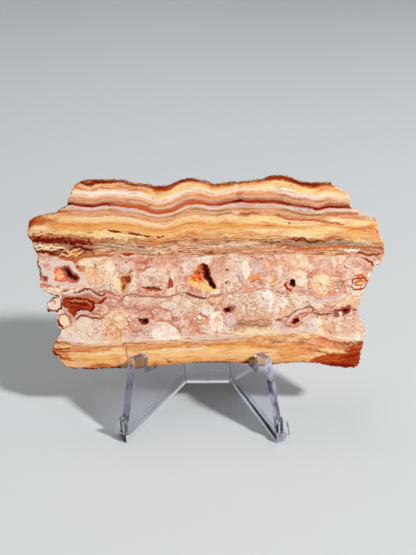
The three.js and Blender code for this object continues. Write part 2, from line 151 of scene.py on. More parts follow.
# Bands and streaks laid down along the layers, broad ones first. Colour, strength, half width,
# and points whose height is the level of the layer.
brushes = [
    # The rind and the layers just under it.
    ("garnet", 0.95, 1.15, [-48.2,76.8, -45,77.6, -42,77.9, -38,77.8, -34,77.2, -28,77, -22,77.1,
        -17,77.3]),
    ("soot", 0.9, 0.36, [-46.6,76.9, -44.6,77.6, -43.3,77, -42.6,76.2, -41.5,76, -40.2,76.8,
        -39,77.7, -37.4,77.8, -36,77.2, -34,77.3]),
    ("garnet", 0.85, 0.2, [-47,76.2, -46,76.6, -45,76.3, -44.2,76.7, -43.2,75.9, -41.8,75.6,
        -40.8,76.3, -38.8,76.9, -36.6,76.3, -34.6,76.5, -31,76.3, -27,76.2]),
    ("peach", 0.8, 0.22, [-43.6,77.8, -42.6,77.3, -41.8,77]),
    ("peach", 0.75, 0.4, [-47.6,75.9, -46,75.6, -43,75.1, -41,75.4, -39,76, -36,75.6, -31,75.8,
        -27,75.6, -22,75.9, -18,76]),
    ("flame", 0.85, 0.22, [-48.8,75.7, -47.5,75.1, -46,74.7, -44,74.5, -42,74.5, -40,74.9,
        -38,75.2, -36,74.8, -34,74.8, -31,75.3, -28,74.9, -25,75, -22,75.2, -19,75.2]),
    ("amber", 0.7, 0.3, [-44,74.2, -40,74.5, -36,74.4, -31,74.7, -26,74.5, -22,74.7, -18,74.8]),
    ("cinnabar", 0.97, 1.3, [-18.6,76.6, -15,76.4, -12,76.4, -9,76.7, -6.4,76.8]),
    ("oxblood", 0.85, 0.35, [-17,77.3, -14,77.5, -11,77.6]),
    ("flame", 0.8, 0.25, [-16.5,76.1, -14,76.2, -11,76.1, -9,76.3]),
    ("garnet", 0.97, 1.05, [-8.8,77, -5,76.8, -3,77, 0,76.9, 2.6,77.1]),
    ("oxblood", 0.8, 0.3, [-6.2,76.7, -4.8,76.9, -3.6,77]),
    ("oxblood", 0.95, 0.45, [0.6,77.2, 3,77.3, 5,77.1, 8,77.3]),
    ("rose", 0.6, 0.35, [0.6,76.3, 3,76.6, 5,76.5]),
    ("amber", 0.75, 0.5, [3,75.4, 6,75.3, 9,75.8, 12,75.8, 14,75.4]),
    ("flame", 0.75, 0.3, [10.8,75.4, 12.4,75.7, 13.9,75.2]),
    ("rust", 0.85, 0.25, [13,76.7, 14.8,76.6, 16.2,77, 18.6,77]),
    ("honey", 0.6, 0.5, [18,76.2, 22,76.4, 25,76.4]),
    ("apricot", 0.7, 0.45, [16,75.3, 20,75.2, 24,75.5, 27,75.2, 30,74.8]),
    ("cinnabar", 0.97, 1.1, [22,77.3, 28,76.9, 31,76.8, 34,76.8, 38,76.8, 43,76.9]),
    ("cinnabar", 0.8, 0.3, [28,76.4, 31,76.2, 35,76.2, 39,76.3]),
    ("oxblood", 0.95, 0.75, [36.4,76.9, 39.4,76.8, 42,77.2, 45,77.3, 47,77.5, 49,77.2, 51,77.2,
        52.6,77.4]),
    ("rust", 0.8, 0.18, [39,76, 42,76.4, 45,76.2, 48,76.4, 51,76.6]),
    ("copper", 0.8, 0.15, [44,76.8, 48,76.9, 52,76.9, 54.4,76.7]),
    ("oxblood", 0.8, 0.2, [52.8,76.6, 54.8,76.9]),
    ("straw", 0.7, 0.7, [-18,75, -12,74.9, -6,74.9, 0,74.6, 4,74.4]),
    ("straw", 0.8, 0.7, [26,74.7, 34,75, 42,75, 47,75.2]),
    ("honey", 0.6, 0.4, [45,74.6, 50,74.4, 56,74.6]),
    ("copper", 0.75, 0.2, [46.4,75.3, 49,75, 52,74.9, 54,75.1, 55.6,75.5]),
    ("amber", 0.7, 0.4, [54.6,74.9, 58.4,75]),
    ("chalk", 0.7, 0.8, [-49,73.6, -42,73.6, -34,73.6, -26,73.6, -18,73.8]),
    ("ivory", 0.6, 0.7, [-18,72.8, -8,72.8, 4,73, 12,73]),
    ("peach", 0.5, 0.4, [-17,73.2, -11,72.6]),
    ("cream", 0.7, 0.8, [16,73, 24,72.8, 30,72.8]),
    ("dove", 0.7, 0.5, [30,72.9, 36,72.9, 42,73, 46,72.6]),
    ("chalk", 0.9, 0.18, [32,73.7, 38,73.6, 43,73.8, 47,73.3, 50,73.4]),
    ("cream", 0.6, 0.8, [47,73, 52,72.8, 58,72.6]),
    ("honey", 0.5, 0.35, [-49.6,72.4, -46,72, -44,71.9]),
    ("peach", 0.5, 0.4, [-33,72, -28,71.9]),
    # Tan layers over the red one.
    ("russet", 0.6, 0.14, [-51.4,70.9, -49,70.8, -47,71]),
    ("russet", 0.5, 0.14, [-52,70.2, -48,70.1, -44,70.3, -38,70.2]),
    ("mauve", 0.55, 0.3, [-42,69.3, -36,69.4, -30,69.8, -26,69.5]),
    ("copper", 0.4, 0.3, [-30,71, -20,71, -10,71.1, -4,71]),
    ("umber", 0.6, 0.2, [-28,70.5, -26.6,70.7]),
    ("umber", 0.6, 0.18, [-5,70.9, -3.9,70.8]),
    ("peach", 0.5, 0.5, [-17,70, -12,70.1, -8,70]),
    ("apricot", 0.45, 0.4, [-2,71.2, 5,71.1, 12,71.3]),
    ("copper", 0.5, 0.16, [0,70.2, 3,70.3, 6,70.1, 10,70.3]),
    ("umber", 0.6, 0.15, [1.1,70.2, 1.8,70.2]),
    ("russet", 0.6, 0.16, [10.6,69.7, 12.8,69.6]),
    ("apricot", 0.6, 0.35, [20,71.2, 25,71.3, 30,71.3]),
    ("copper", 0.6, 0.2, [26.6,71.6, 30,71.4, 33,71.3]),
    ("olive", 0.4, 0.3, [31.6,70.8, 35,71, 38,70.6]),
    ("mauve", 0.5, 0.35, [34,69.6, 40,69.8, 46,69.4]),
    ("mauve", 0.95, 0.26, [31,71.2, 33,71.5, 35.4,71.7, 37.4,71.2, 39.8,71.6, 42,72.1, 43.8,72,
        46,71.5, 48,71.1, 49.2,71.2]),
    ("mauve", 0.7, 0.16, [36.8,70.9, 38.6,71.2, 40.4,71.2]),
    ("ivory", 0.5, 0.5, [50,71.6, 54,71.4, 58,71.2]),
    ("rose", 0.5, 0.4, [-8,69.6, 0,69.7, 6,69.5]),
    ("mauve", 0.6, 0.25, [-51,69, -44,69, -36,69.1, -24,69.1, -14,69, -2,69]),
    ("mauve", 0.65, 0.25, [-2,69, 8,69, 14,69, 24,69.1, 34,69.2]),
    ("plum", 0.7, 0.28, [49,69.3, 54,69.5, 57,69.6, 59.8,69.5]),
    ("rust", 0.9, 0.28, [15,71.4, 16.8,71.4, 18.6,71.3]),
    ("plum", 0.75, 0.2, [13.6,72.3, 14.2,71.8]),
    ("mauve", 0.6, 0.8, [15.4,70.2, 17,70.1]),
    # The red layer and the pale one under it.
    ("garnet", 1, 0.44, [-53,68.1, -48,68.1, -42,68.2, -36,68.1, -31,68]),
    ("soot", 0.9, 0.4, [-52.8,68.2, -51,68.3, -49.2,68.4]),
    ("flame", 0.9, 0.5, [-34,68.1, -28,68.1, -20,68.3, -10,68.2, -2,68.1, 8,68.1]),
    ("cinnabar", 0.7, 0.42, [3,68.1, 10,68.1, 16,68]),
    ("cinnabar", 0.9, 0.45, [17,68, 24,68.1, 30,68.2]),
    ("soot", 0.85, 0.38, [13.4,68.1, 16,68, 19,68.1]),
    ("garnet", 1, 0.5, [26,68.2, 32,68.3, 37,68.5, 42,68.8, 47,68.4, 51,68.2, 56,68.1, 60.6,68]),
    ("soot", 0.9, 0.35, [55.6,68.4, 58,68.3, 60.4,68.1]),
    ("dove", 0.85, 0.42, [-57,66.3, -52,66.8, -46,67, -40,66.9, -34,66.9, -28,66.8, -21,67]),
    ("lilac", 0.5, 0.3, [-36,66.9, -30,66.7, -23,67]),
    ("ivory", 0.6, 0.5, [-22,66.8, -12,66.9, -2,66.8]),
    ("dove", 0.8, 0.45, [-3,66.8, 4,66.8, 10,66.9, 16,66.8]),
    ("lilac", 0.7, 0.4, [15,66.9, 22,66.8, 30,66.9, 34,67]),
    ("dove", 0.85, 0.45, [32,67.1, 38,67.4, 43,67.6, 48,67, 54,66.7, 60,66.7, 63,66.8]),
    ("russet", 0.55, 0.13, [-50,66.1, -42,66.2, -36,66.1]),
    ("umber", 0.75, 0.18, [-35.4,65.9, -33.6,66.2, -31.8,66.1]),
    ("copper", 0.5, 0.16, [-31,65.8, -26,65.7]),
    ("umber", 0.85, 0.2, [-12.6,65.7, -9,65.3, -6.6,65.4, -4.8,65.5]),
    ("umber", 0.6, 0.22, [-3,65.6, 1,65.5, 4,65.5, 7,65.8, 10,65.8]),
    ("olive", 0.6, 0.2, [2,65.3, 6,65.6, 10.6,66, 13,65.6]),
    ("russet", 0.75, 0.35, [16,65.8, 19,65.6, 22.4,65.4]),
    ("olive", 0.8, 0.36, [32.6,66, 36,66, 40,65.8, 44,65.7, 48,65.3, 51,65.2, 53.6,65.2]),
    ("rust", 0.95, 0.4, [-58.4,65.2, -55,65.3, -52,65.2, -49.4,65]),
    ("garnet", 0.75, 0.22, [-57.8,65.2, -55,65.2]),
    ("salmon", 0.7, 0.3, [-51,64.9, -46,64.8, -42,64.6]),
    ("olive", 0.8, 0.16, [-43.4,64.3, -42,64.3]),
    ("olive", 0.7, 0.14, [-40.6,64.2, -39,64.2]),
    ("rose", 0.5, 0.5, [-31,64.7, -22,64.8]),
    ("russet", 0.6, 0.2, [-32,64, -28,63.9, -25,64.2]),
    ("copper", 0.4, 0.25, [-22,64.1, -14,64, -8,64.1]),
    ("olive", 0.85, 0.25, [6.6,63.7, 9,63.9, 11.4,64.1, 13.4,64]),
    ("cream", 0.85, 0.2, [8,63.1, 11,63.3, 14,63.2]),
    ("chalk", 0.8, 0.25, [13.4,64.6, 16,64.3]),
    ("umber", 0.85, 0.3, [16.8,64, 18.6,63.9, 20.2,63.7]),
    ("russet", 0.8, 0.3, [20.4,64.2, 23,64.1, 25.4,64.2]),
    ("flame", 0.6, 0.2, [15.4,63.3, 18.2,63.4, 20,63.2]),
    ("salmon", 0.6, 0.3, [25,64.4, 28,64.3, 30,64.3]),
    ("rose", 0.5, 0.4, [34,64.8, 40,65, 48,64.3]),
    ("cinnabar", 0.9, 0.24, [30.4,64.2, 32,63.8, 33.6,63.8]),
    ("russet", 0.85, 0.18, [33.4,63.9, 35.4,64.2, 38,64.1, 42,64.3, 45,63.9, 49,63.3]),
    ("rust", 0.95, 0.22, [34,63, 38,63.2, 42,63.6, 45,63.4, 47,62.9, 48.6,62.1, 50,61.5, 52,61.2,
        54,61.1, 56.4,60.8]),
    ("salmon", 0.7, 0.4, [53,64.3, 58,64.5, 62,64.7]),
    ("rust", 0.9, 0.36, [53,65.2, 56,65.2, 59,65.4, 62.8,65.6]),
    ("umber", 0.6, 0.2, [53.6,64.8, 56,65]),
    # Cream and orange layers.
    ("honey", 0.7, 1, [-66,63, -60,63, -54,62.6, -50,62.4]),
    ("cream", 0.7, 0.25, [-64,64.5, -61,64.7, -58.4,64.9]),
    ("cream", 0.45, 0.9, [-48,62.6, -38,62.4, -28,62.2, -14,62.2]),
    ("straw", 0.7, 0.7, [10,61.9, 18,62, 26,62, 34,61.6, 42,61.4]),
    ("cream", 0.8, 0.6, [49.6,62.6, 53,62.4, 57,62.4]),
    ("straw", 0.85, 0.9, [56,62, 60,61.8, 65,62.6, 68.6,63.4]),
    ("amber", 0.7, 0.3, [11,62.4, 11.2,61.4]),
    ("rust", 0.85, 1.3, [-70,61.6, -66,61.9, -63,62, -59,61.6, -56,61.4]),
    ("rust", 0.8, 1, [-70,58.4, -67,59.2, -64,60, -60,60.2]),
    ("cinnabar", 0.9, 0.9, [-70,57, -68.4,58.8, -67,60.6, -65.4,62.2, -63,63.2]),
    ("garnet", 0.95, 0.7, [-68.2,57.6, -67.6,59.2, -66.9,60.8, -66.4,61.8]),
    ("soot", 0.7, 0.35, [-68,58, -67.3,59.8, -66.8,61]),
    ("rust", 0.85, 0.4, [-66.4,61.6, -63,61.5, -60,61.4]),
    ("gold", 0.8, 1.3, [-62,58.2, -50,58, -40,58, -30,58.4, -20,58.6, -10,58.6, -3,58.4]),
    ("rust", 0.7, 0.4, [-66.4,60.4, -63.6,60.2, -60.6,60]),
    ("amber", 0.9, 0.5, [-62,59.9, -56,60, -50,59.6, -44,59.7, -38,59.6]),
    ("flame", 0.45, 0.3, [-47,59.6, -44,59.6, -41,59.5]),
    ("apricot", 0.6, 0.8, [-49,57, -42,57, -36,57.2, -30,57.3]),
    ("cream", 0.75, 1.1, [-65.4,57.2, -62,57.4, -59.4,57.2]),
    ("copper", 0.6, 0.4, [-58.4,57.4, -55.6,57.4]),
    ("straw", 0.95, 0.6, [-60,55.8, -54,55.8, -48,55.4, -43,55]),
    ("cream", 0.8, 0.35, [-43,54.3, -36,54.2, -30,54.4, -26,54.2]),
    ("straw", 1, 0.16, [-45,54.8, -38,54.9, -34,55, -30,54.9, -26,54.9, -19,54.9]),
    ("cream", 0.9, 0.6, [-69.4,54.8, -66,55.2, -62,55.4]),
    ("amber", 0.8, 0.22, [-37,60.3, -28,60.2, -23,60.5, -18,60.2, -8,60.2, 0,60]),
    ("copper", 0.6, 0.18, [-24,60.6, -22.4,60.6]),
    ("gold", 0.6, 1.2, [-3,58.8, 6,58.8, 14,58.9, 22,59.2]),
    ("amber", 0.7, 0.3, [0,60.6, 2,60.5, 4,60.3]),
    ("flame", 0.7, 0.25, [9,60.2, 11,60.3, 12.8,60.4]),
    ("apricot", 0.7, 0.25, [17,60.3, 22,60.3, 27,60.2, 34,60]),
    ("apricot", 0.7, 0.4, [6.6,58.6, 8.6,58.6, 10.8,58.8]),
    ("cream", 0.7, 0.6, [18,58, 26,58, 34,58.2]),
    ("straw", 0.8, 1.5, [33,58.6, 40,58.4, 48,58.8, 57,58.6]),
    ("amber", 0.5, 0.25, [32,60, 37,60, 42,59.9]),
    ("cream", 0.75, 1.1, [32,56.4, 38,56.4, 44,56.2, 49,56]),
    ("gold", 0.75, 1.4, [56,58, 60,58, 65,58.4]),
    ("apricot", 0.7, 0.3, [57,60.3, 61,60.2, 65.6,60]),
    ("flame", 0.7, 0.25, [63.4,59.9, 65.4,59.8]),
    ("amber", 0.8, 1, [65.6,61.4, 67.4,61.6, 69.4,62]),
    ("apricot", 0.8, 1.4, [66.4,57.6, 69,57.6, 71,57]),
    ("garnet", 0.9, 0.35, [68.8,59.7, 70.6,59.5]),
    ("honey", 0.7, 1.2, [66,55, 69,54.5, 72,53.4]),
    ("copper", 0.45, 0.6, [16,56.6, 20,56.4, 24,56.4]),
    ("copper", 0.6, 0.5, [-9,54.5, -4,54.4, 0,54.4]),
    ("tangerine", 0.95, 0.5, [-9.4,55.2, -6,55.2, -3,55.6, 0,55.8, 2,55.9]),
    ("amber", 0.8, 0.35, [1,55.2, 3,55, 5.4,54.9]),
    ("tangerine", 0.8, 0.4, [-20.4,53.9, -17,53.8, -13.4,54, -12,54.4]),
    ("rust", 0.9, 0.22, [-12.6,54.3, -11,53.6, -9.4,52.9, -8.2,52.3]),
    ("umber", 0.8, 0.18, [-4.4,56.9, -3.6,56.8]),
    ("olive", 0.35, 0.7, [3.6,56, 7,55.8, 10,55.8]),
    ("cream", 0.9, 0.3, [9.2,55.3, 11,55.1, 12.8,54.8]),
    ("amber", 0.8, 0.6, [13,54.2, 14.4,54.3, 15.4,54.2]),
    ("amber", 0.8, 0.35, [15.6,54, 18.4,53.9]),
    ("brick", 0.92, 0.85, [-69,52.3, -60,52.2, -52,52.2, -47,52.1, -41,52.1]),
    ("garnet", 0.9, 0.35, [-66,51.9, -58,52, -50,52.3, -43,52.2]),
    ("oxblood", 0.8, 0.22, [-58,52.6, -52,52.4, -45,51.7]),
    ("brick", 0.85, 0.5, [-68,49.7, -60,49.5, -52,49.5, -45,49.6, -39,49.8]),
    ("garnet", 0.85, 0.28, [-60,49.8, -53,49.5, -47,49.8, -41,49.8]),
    ("brick", 0.85, 0.6, [-66,47.9, -58,48, -51,47.8, -46,48.2]),
    ("brick", 0.85, 0.85, [-69,53.6, -63,53.7, -57,53.5, -51,53.1, -47,52.6]),
    ("garnet", 0.9, 0.5, [-66,54.6, -62,54.7, -58,54.4, -55,53.9]),
    ("soot", 0.6, 0.2, [-65,54.9, -61,54.9, -58,54.7]),
    ("garnet", 0.7, 0.3, [-65,50.2, -59,50.1, -54,49.6]),
    ("cream", 0.95, 0.26, [-68,50.8, -62,50.7, -57,50.5, -53,50.2]),
    ("cream", 0.9, 0.18, [-64,49.1, -58,48.9, -54,48.6, -51,48.8]),
    ("tangerine", 0.8, 0.3, [-54,48.6, -50,48.5, -46,49, -42,48.9]),
    ("straw", 0.7, 0.25, [-42,49.4, -38,49.3, -35,49.5]),
    ("umber", 0.55, 0.5, [18,51.7, 30,51.5, 40,51.5, 50,51.7, 62,51.5]),
    ("bark", 0.8, 0.2, [24,52.3, 30,52.1, 36,52.2, 42,52.2, 49,52.4]),
    ("bark", 0.6, 0.15, [46,51.2, 52,51.3, 58,51]),
    ("copper", 0.7, 0.2, [-2,53.9, 4,53.9, 10,53.9]),
    ("rust", 0.7, 0.18, [5.6,53, 9,52.8, 12.8,52.6]),
    # The rough crust over the lace.
    ("russet", 0.9, 0.25, [-65.4,54.7, -63,54.9, -60.4,54.6]),
    ("chalk", 0.95, 0.25, [-65.2,54.2, -64,54.3]),
    ("peach", 0.8, 0.35, [-63,54, -59,54.1, -55,54.2, -50,54.2]),
    ("rust", 0.8, 0.4, [-60,51.9, -56,51.8, -51,51.8]),
    ("garnet", 0.95, 0.85, [-68.4,52.6, -64,52.6, -60,52.4, -56.4,52.2]),
    ("oxblood", 0.8, 0.45, [-58.4,52.9, -54,52.8, -50.4,52.8]),
    ("garnet", 0.95, 0.75, [-50,52.3, -45,52.3, -42,52.1, -40,51.9]),
    ("oxblood", 0.95, 0.45, [-52.6,51.7, -50.4,51.9, -48.2,52]),
    ("flame", 0.6, 0.25, [-43,51.8, -40.8,51.7]),
    ("cream", 0.95, 0.28, [-67,50.8, -63.6,51.2, -60,50.9, -57.6,50.9]),
    ("cream", 0.95, 0.3, [-66,49.8, -61,49.7, -57,49.9, -54,50.2, -52.4,49.6, -51,49.1]),
    ("umber", 0.85, 0.16, [-64.4,50.6, -63.4,50.5]),
    ("umber", 0.85, 0.16, [-61,50.5, -60,50.6]),
    ("rust", 0.8, 0.2, [-56.8,50.9, -54.6,50.7]),
    ("garnet", 0.8, 0.6, [-66,48.4, -63,48.3, -59,48]),
    ("garnet", 0.9, 0.2, [-66.4,49.2, -62,49.2, -58.6,49.3]),
    ("soot", 0.9, 0.3, [-55.8,49.4, -54,49.2, -52.4,49]),
    ("oxblood", 0.95, 0.45, [-60.2,48.2, -58.4,48, -57.2,48.1]),
    ("apricot", 0.8, 0.3, [-51,50.1, -49,50.2, -47.6,50]),
    ("honey", 0.9, 0.28, [-54.8,48.1, -51,48, -47.2,48.4]),
    ("dove", 0.6, 0.3, [-47.4,47.6, -44,47.5]),
    ("slate", 0.7, 0.3, [-47.4,50.9, -43,50.9, -38,51]),
    ("tangerine", 0.7, 0.3, [-45.4,49.4, -43,49.2]),
    ("gold", 0.8, 0.35, [-42,49.4, -40,49.3, -38.4,48.8]),
    ("soot", 0.95, 0.45, [-47,48.5, -45,49]),
    ("oxblood", 0.9, 0.24, [-44,48.5, -42.6,48.3, -41.2,48.7]),
    ("grey", 0.75, 1.1, [-41,50.5, -34,50.8, -28,50.6, -21,50.4]),
    ("slate", 0.6, 0.25, [-41,52.4, -38,52.3, -34,52.2, -29,52.3]),
    ("slate", 0.5, 0.3, [-36,50.6, -30,50.6]),
    ("slate", 0.6, 0.5, [-22,48.9, -19,48.1, -14,47.9]),
    ("copper", 0.5, 0.6, [-21,52.4, -16,52.6, -12,52.6]),
    ("salmon", 0.5, 1, [-13,50.6, -5,50.3, 0,50]),
    ("cream", 0.95, 0.3, [-21.6,50.8, -19.6,51.1, -17.6,51, -16.4,50.4, -16.2,49.6, -14.6,49,
        -12.4,48.7]),
    ("cream", 0.9, 0.28, [-20.6,50.6, -19.8,49.6, -18,49.1, -16.4,49]),
    ("copper", 0.7, 0.3, [-19.2,50.2, -18,50]),
    ("cream", 0.8, 0.15, [-13,49.7, -9,49.4, -6,49.8]),
    ("cream", 0.7, 0.15, [-10,51.4, -8.6,51, -6.4,50.7, -2,50.4]),
    ("umber", 0.7, 0.16, [-5,49.1, -3.6,49, -2,49.4]),
    ("umber", 0.6, 0.15, [-11.4,48.2, -9,48.2]),
    ("copper", 0.5, 0.5, [-12,47.8, -6,47.8, 0,47.9]),
    ("honey", 0.5, 0.5, [-36,48.6, -32,48.6, -29,48.8]),
    ("cinnabar", 0.9, 0.38, [-30.4,47.5, -28,47.4, -25.8,47.4]),
    ("ivory", 0.5, 0.8, [4,51.4, 12,51.6, 18,51.6, 26,51.5]),
    ("grey", 0.35, 0.7, [-2,52, 3,51.8]),
    ("umber", 0.9, 0.25, [16.4,51.9, 17,52.1]),
    ("rust", 0.7, 0.3, [3.6,48.3, 7,48.4, 11.4,48.3]),
    ("bark", 0.9, 0.25, [20.2,53.9, 21.1,53.9]),
    ("copper", 0.8, 0.25, [22,53.6, 25,53.6, 27,53.8]),
    ("grey", 0.85, 0.8, [31.4,52.7, 35,52.3, 39,51.9, 43,51.3, 48,51.1]),
    ("slate", 0.6, 0.35, [33,52.5, 36,52.2]),
    ("slate", 0.5, 0.3, [42,51.2, 46,50.9]),
    ("bark", 0.95, 0.28, [26.8,53.9, 28.4,53.7, 29.6,53, 30.8,52.6, 31.8,51.9, 32.4,51.4]),
    ("umber", 0.6, 0.3, [30.4,53.8, 32,54.6, 34.6,55]),
    ("copper", 0.9, 1.2, [47.4,53.6, 51,54, 54,54.2, 56.4,54.2]),
    ("rust", 0.7, 0.6, [49.4,53.4, 53,53.6]),
    ("rust", 0.8, 0.62, [35.4,54.4, 37.2,53.9, 38.6,53.6, 39.6,54.2, 41,54.6, 42,53.9, 43,53.2,
        46,52.9, 48.6,52.4]),
    ("soot", 0.9, 0.34, [35.8,54.4, 37.2,53.8, 38.6,53.5, 39.6,54.2, 41,54.6, 42,53.8, 43,53.1,
        44.4,53.2, 46,52.8, 48.4,52.3]),
    ("gold", 0.8, 0.9, [56,54.4, 58.4,54, 60,54]),
    ("straw", 0.85, 1.3, [60.4,53.6, 63,53.6, 65.2,53.4]),
    ("umber", 0.8, 0.2, [63.1,55.7, 63.2,54.3]),
    ("cream", 0.7, 0.8, [65,52.4, 68,52.2]),
    ("dove", 0.5, 0.5, [48,51.7, 54,51.8, 60,51.6, 65,51.4]),
    ("grey", 0.6, 0.2, [50,51.2, 58,51.2, 64,51]),
    ("salmon", 0.7, 0.8, [31,48.4, 38,48.4, 46,48.6]),
    ("cream", 0.7, 0.2, [34,48.5, 38,48.1]),
    ("honey", 0.5, 0.5, [47,48.4, 56,48.4]),
    ("rust", 0.9, 0.5, [30.6,50.2, 33,50.6, 36,50.8]),
    ("rose", 0.7, 0.35, [32,49.6, 34.4,49.6]),
    ("rust", 0.9, 0.35, [35,50.6, 38,49.9, 42,49.7, 46,49.7, 48,50]),
    ("apricot", 0.8, 0.2, [46,49.2, 51,49.1, 56.8,49.4]),
    ("rust", 0.8, 0.25, [52.4,50.2, 57,50.1]),
    ("garnet", 0.9, 0.34, [56.4,49.8, 59,50, 62.4,50.1]),
    ("plum", 0.85, 0.3, [61.2,50.4, 64,50.3, 65.8,50]),
    ("slate", 0.7, 0.4, [65.4,50, 69,50, 70.8,50.2]),
    ("garnet", 0.9, 0.42, [70,50.9, 73,50.8]),
    ("rust", 0.8, 0.4, [69.4,49.6, 72.4,49.5]),
    ("grey", 0.7, 0.14, [52,48.2, 57,48]),
    ("ivory", 0.9, 0.35, [57.4,48.7, 60,48.6, 62.6,48.4]),
    ("mauve", 0.6, 0.5, [62.6,48.9, 67,48.9, 71,48.6]),
    ("rust", 0.8, 0.3, [60.6,47.6, 63.4,47.5]),
    # The foot, under the lace.
    ("garnet", 0.9, 0.32, [-59.4,13.4, -58,13.5]),
    ("straw", 0.8, 0.9, [-61.4,11.6, -57,11.6, -52.6,12]),
    ("copper", 0.6, 0.3, [-57,12.4, -54.4,12.4]),
    ("umber", 0.8, 0.18, [-58.4,11.2, -57.6,10.9]),
    ("salmon", 0.6, 0.8, [-52.4,12.2, -47,12, -44,11.8]),
    ("russet", 0.75, 0.9, [-46.4,11.8, -41,11.8, -36.6,11.8]),
    ("rust", 0.7, 0.9, [-37.4,11.8, -34,11.8, -31,11.8]),
    ("salmon", 0.8, 0.25, [-31.4,13.7, -27,13.6, -22.6,13.2]),
    ("bark", 0.9, 0.25, [-31.8,13.4, -30.4,13.4]),
    ("umber", 0.8, 0.2, [-25.8,12.8, -24.4,12.8]),
    ("gold", 0.7, 1.6, [-56,6.6, -44,6.8, -34,6.8, -26,6.6]),
    ("salmon", 0.6, 0.5, [-58,8.5, -51,8.5]),
    ("cream", 0.6, 0.5, [-47,8.1, -38,8.3, -29,8.6]),
    ("copper", 0.7, 0.35, [-57.6,6.4, -52,6.3, -45,6.3]),
    ("cinnabar", 0.85, 0.5, [-59.6,7, -57,6.8, -54.4,6.6]),
    ("oxblood", 0.95, 0.85, [-62,8.8, -60,8.2, -58.4,7.6]),
    ("rust", 0.7, 0.3, [-54.4,9.6, -50,9.8, -45.6,9.8]),
    ("garnet", 0.9, 0.32, [-62,9.8, -58,9.6, -55,9.6, -52.4,9.6]),
    ("straw", 0.8, 0.35, [-38.6,9.4, -34,9.7, -30.6,9.6]),
    ("amber", 0.85, 0.3, [-45.4,9.3, -41,9.4, -37.6,9.5]),
    ("tangerine", 0.95, 0.38, [-46.2,9.3, -44.4,9.1]),
    ("umber", 0.7, 0.14, [-37.8,10.1, -36.2,10]),
    ("peach", 0.7, 0.8, [-58,4.2, -52,4.2, -45,3.9]),
    ("rust", 0.8, 0.4, [-43.8,3.4, -40,3.4, -36.8,3.3]),
    ("bark", 0.85, 0.3, [-56,2.5, -50,2.6, -45,2.5]),
    ("bark", 0.9, 0.25, [-45,2.4, -36,2.3, -29,2.4]),
    ("oxblood", 0.95, 0.42, [-35.8,2.6, -33.6,3, -32.6,3.3]),
    ("copper", 0.7, 0.22, [-30.3,10.4, -30.2,8, -30.1,6.4]),
    ("copper", 0.6, 0.16, [-25.4,10.2, -25.3,8.6]),
    ("lilac", 0.55, 1.4, [-7,13.8, 2,13.8, 10,13.6, 19,13.6]),
    ("honey", 0.6, 1.8, [-25,6.6, -10,6.6, 0,6.8, 10,7, 22,7]),
    ("cream", 0.85, 0.7, [-18,9.2, -10,9.3, -3,9.4, 3,9.8]),
    ("salmon", 0.6, 0.25, [-22,12.1, -14,12, -7.6,11.8]),
    ("peach", 0.7, 0.3, [-19,12.8, -8.6,12.8]),
    ("amber", 0.85, 0.36, [-24,11, -16,11, -10,10.9, -6,11.1, -2,11.3]),
    ("copper", 0.8, 0.24, [-12.8,13.5, -11.4,13.5]),
    ("garnet", 0.85, 0.24, [-7.8,12.4, -5.6,12.4, -3.7,12.4]),
    ("rust", 0.7, 0.25, [-2.4,11.8, -0.4,11.5]),
    ("amber", 0.9, 0.42, [2,11.2, 8,11, 13,10.8, 18,10.9, 22,10.5]),
    ("tangerine", 0.75, 0.4, [3,11.4, 6,11.3, 10,11]),
    ("gold", 0.7, 0.35, [13,10.2, 22,10]),
    ("olive", 0.8, 0.2, [11.9,11.3, 12.6,11.3]),
    ("copper", 0.7, 0.22, [-1.2,16.2, 1.6,15.8, 3.8,15.2]),
    ("russet", 0.6, 0.22, [5.8,14.6, 6.9,14.4]),
    ("copper", 0.7, 0.2, [8.2,15.6, 10,15.3, 13.2,15]),
    ("olive", 0.4, 0.5, [7.6,13.2, 11.4,12.9]),
    ("apricot", 0.7, 0.3, [6,7.2, 8,7.3, 10,7.2]),
    ("apricot", 0.5, 0.5, [-11,5.4, -4,5.4, 2,5.4]),
    ("amber", 0.75, 0.7, [-23,4.4, -19,4.3, -15.6,4.4]),
    ("rust", 0.8, 0.3, [-20.4,3.5, -17.6,3.5]),
    ("rust", 0.9, 0.2, [-15.6,6.3, -14.4,5.4, -13.2,4.5]),
    ("garnet", 0.95, 0.42, [-13.6,4.3, -12.2,3.7]),
    ("bark", 0.9, 0.3, [-6,2.4, 0,2.7, 6,2.7, 14,2.6]),
    ("oxblood", 0.9, 0.42, [15.4,2.8, 17.6,3, 19.2,3.4]),
    # A painted shadow of the stand's right prong, falling across the lowest layers.
    ("umber", 0.7, 0.7, [18.8,4, 20.6,4.6, 22.6,4.8]),
    ("peach", 0.6, 0.4, [19,11.6, 30,11.9, 40,11.8, 46,11.8]),
    ("amber", 0.8, 2.4, [30,7.4, 34,7.2, 39,7.2]),
    ("apricot", 0.85, 1.8, [38.2,8, 41,7.8, 45.4,7.8]),
    ("amber", 0.9, 0.26, [19,12.1, 23,12.6, 27,12.3, 31,12.7, 35,12.9, 38.4,12.9]),
    ("straw", 0.8, 0.35, [37.6,12.6, 41,12.6, 45,12.5]),
    ("tangerine", 0.85, 0.32, [43,12.4, 48,12.2, 52.6,12.3]),
    ("rust", 0.85, 0.36, [50,12.4, 55,12.4, 58.6,12.5]),
    ("oxblood", 0.9, 0.32, [56.4,12.5, 60,12.7, 65.4,12.9]),
    ("umber", 0.8, 0.2, [27,11.6, 30,11.6, 33,11.5]),
    ("umber", 0.7, 0.14, [39.4,12.1, 42,12, 44.2,12.1]),
    ("umber", 0.7, 0.14, [38.2,11.1, 40,11.3, 42.2,11.4]),
    ("tangerine", 0.8, 0.4, [19,10.4, 25,10.2, 29,10.1, 32.6,10.2]),
    ("apricot", 0.6, 0.4, [32.6,10.7, 38,10.6, 44.4,10.8]),
    ("garnet", 0.9, 2.9, [46,5.4, 50,5.6, 56,5.8, 65,6.4]),
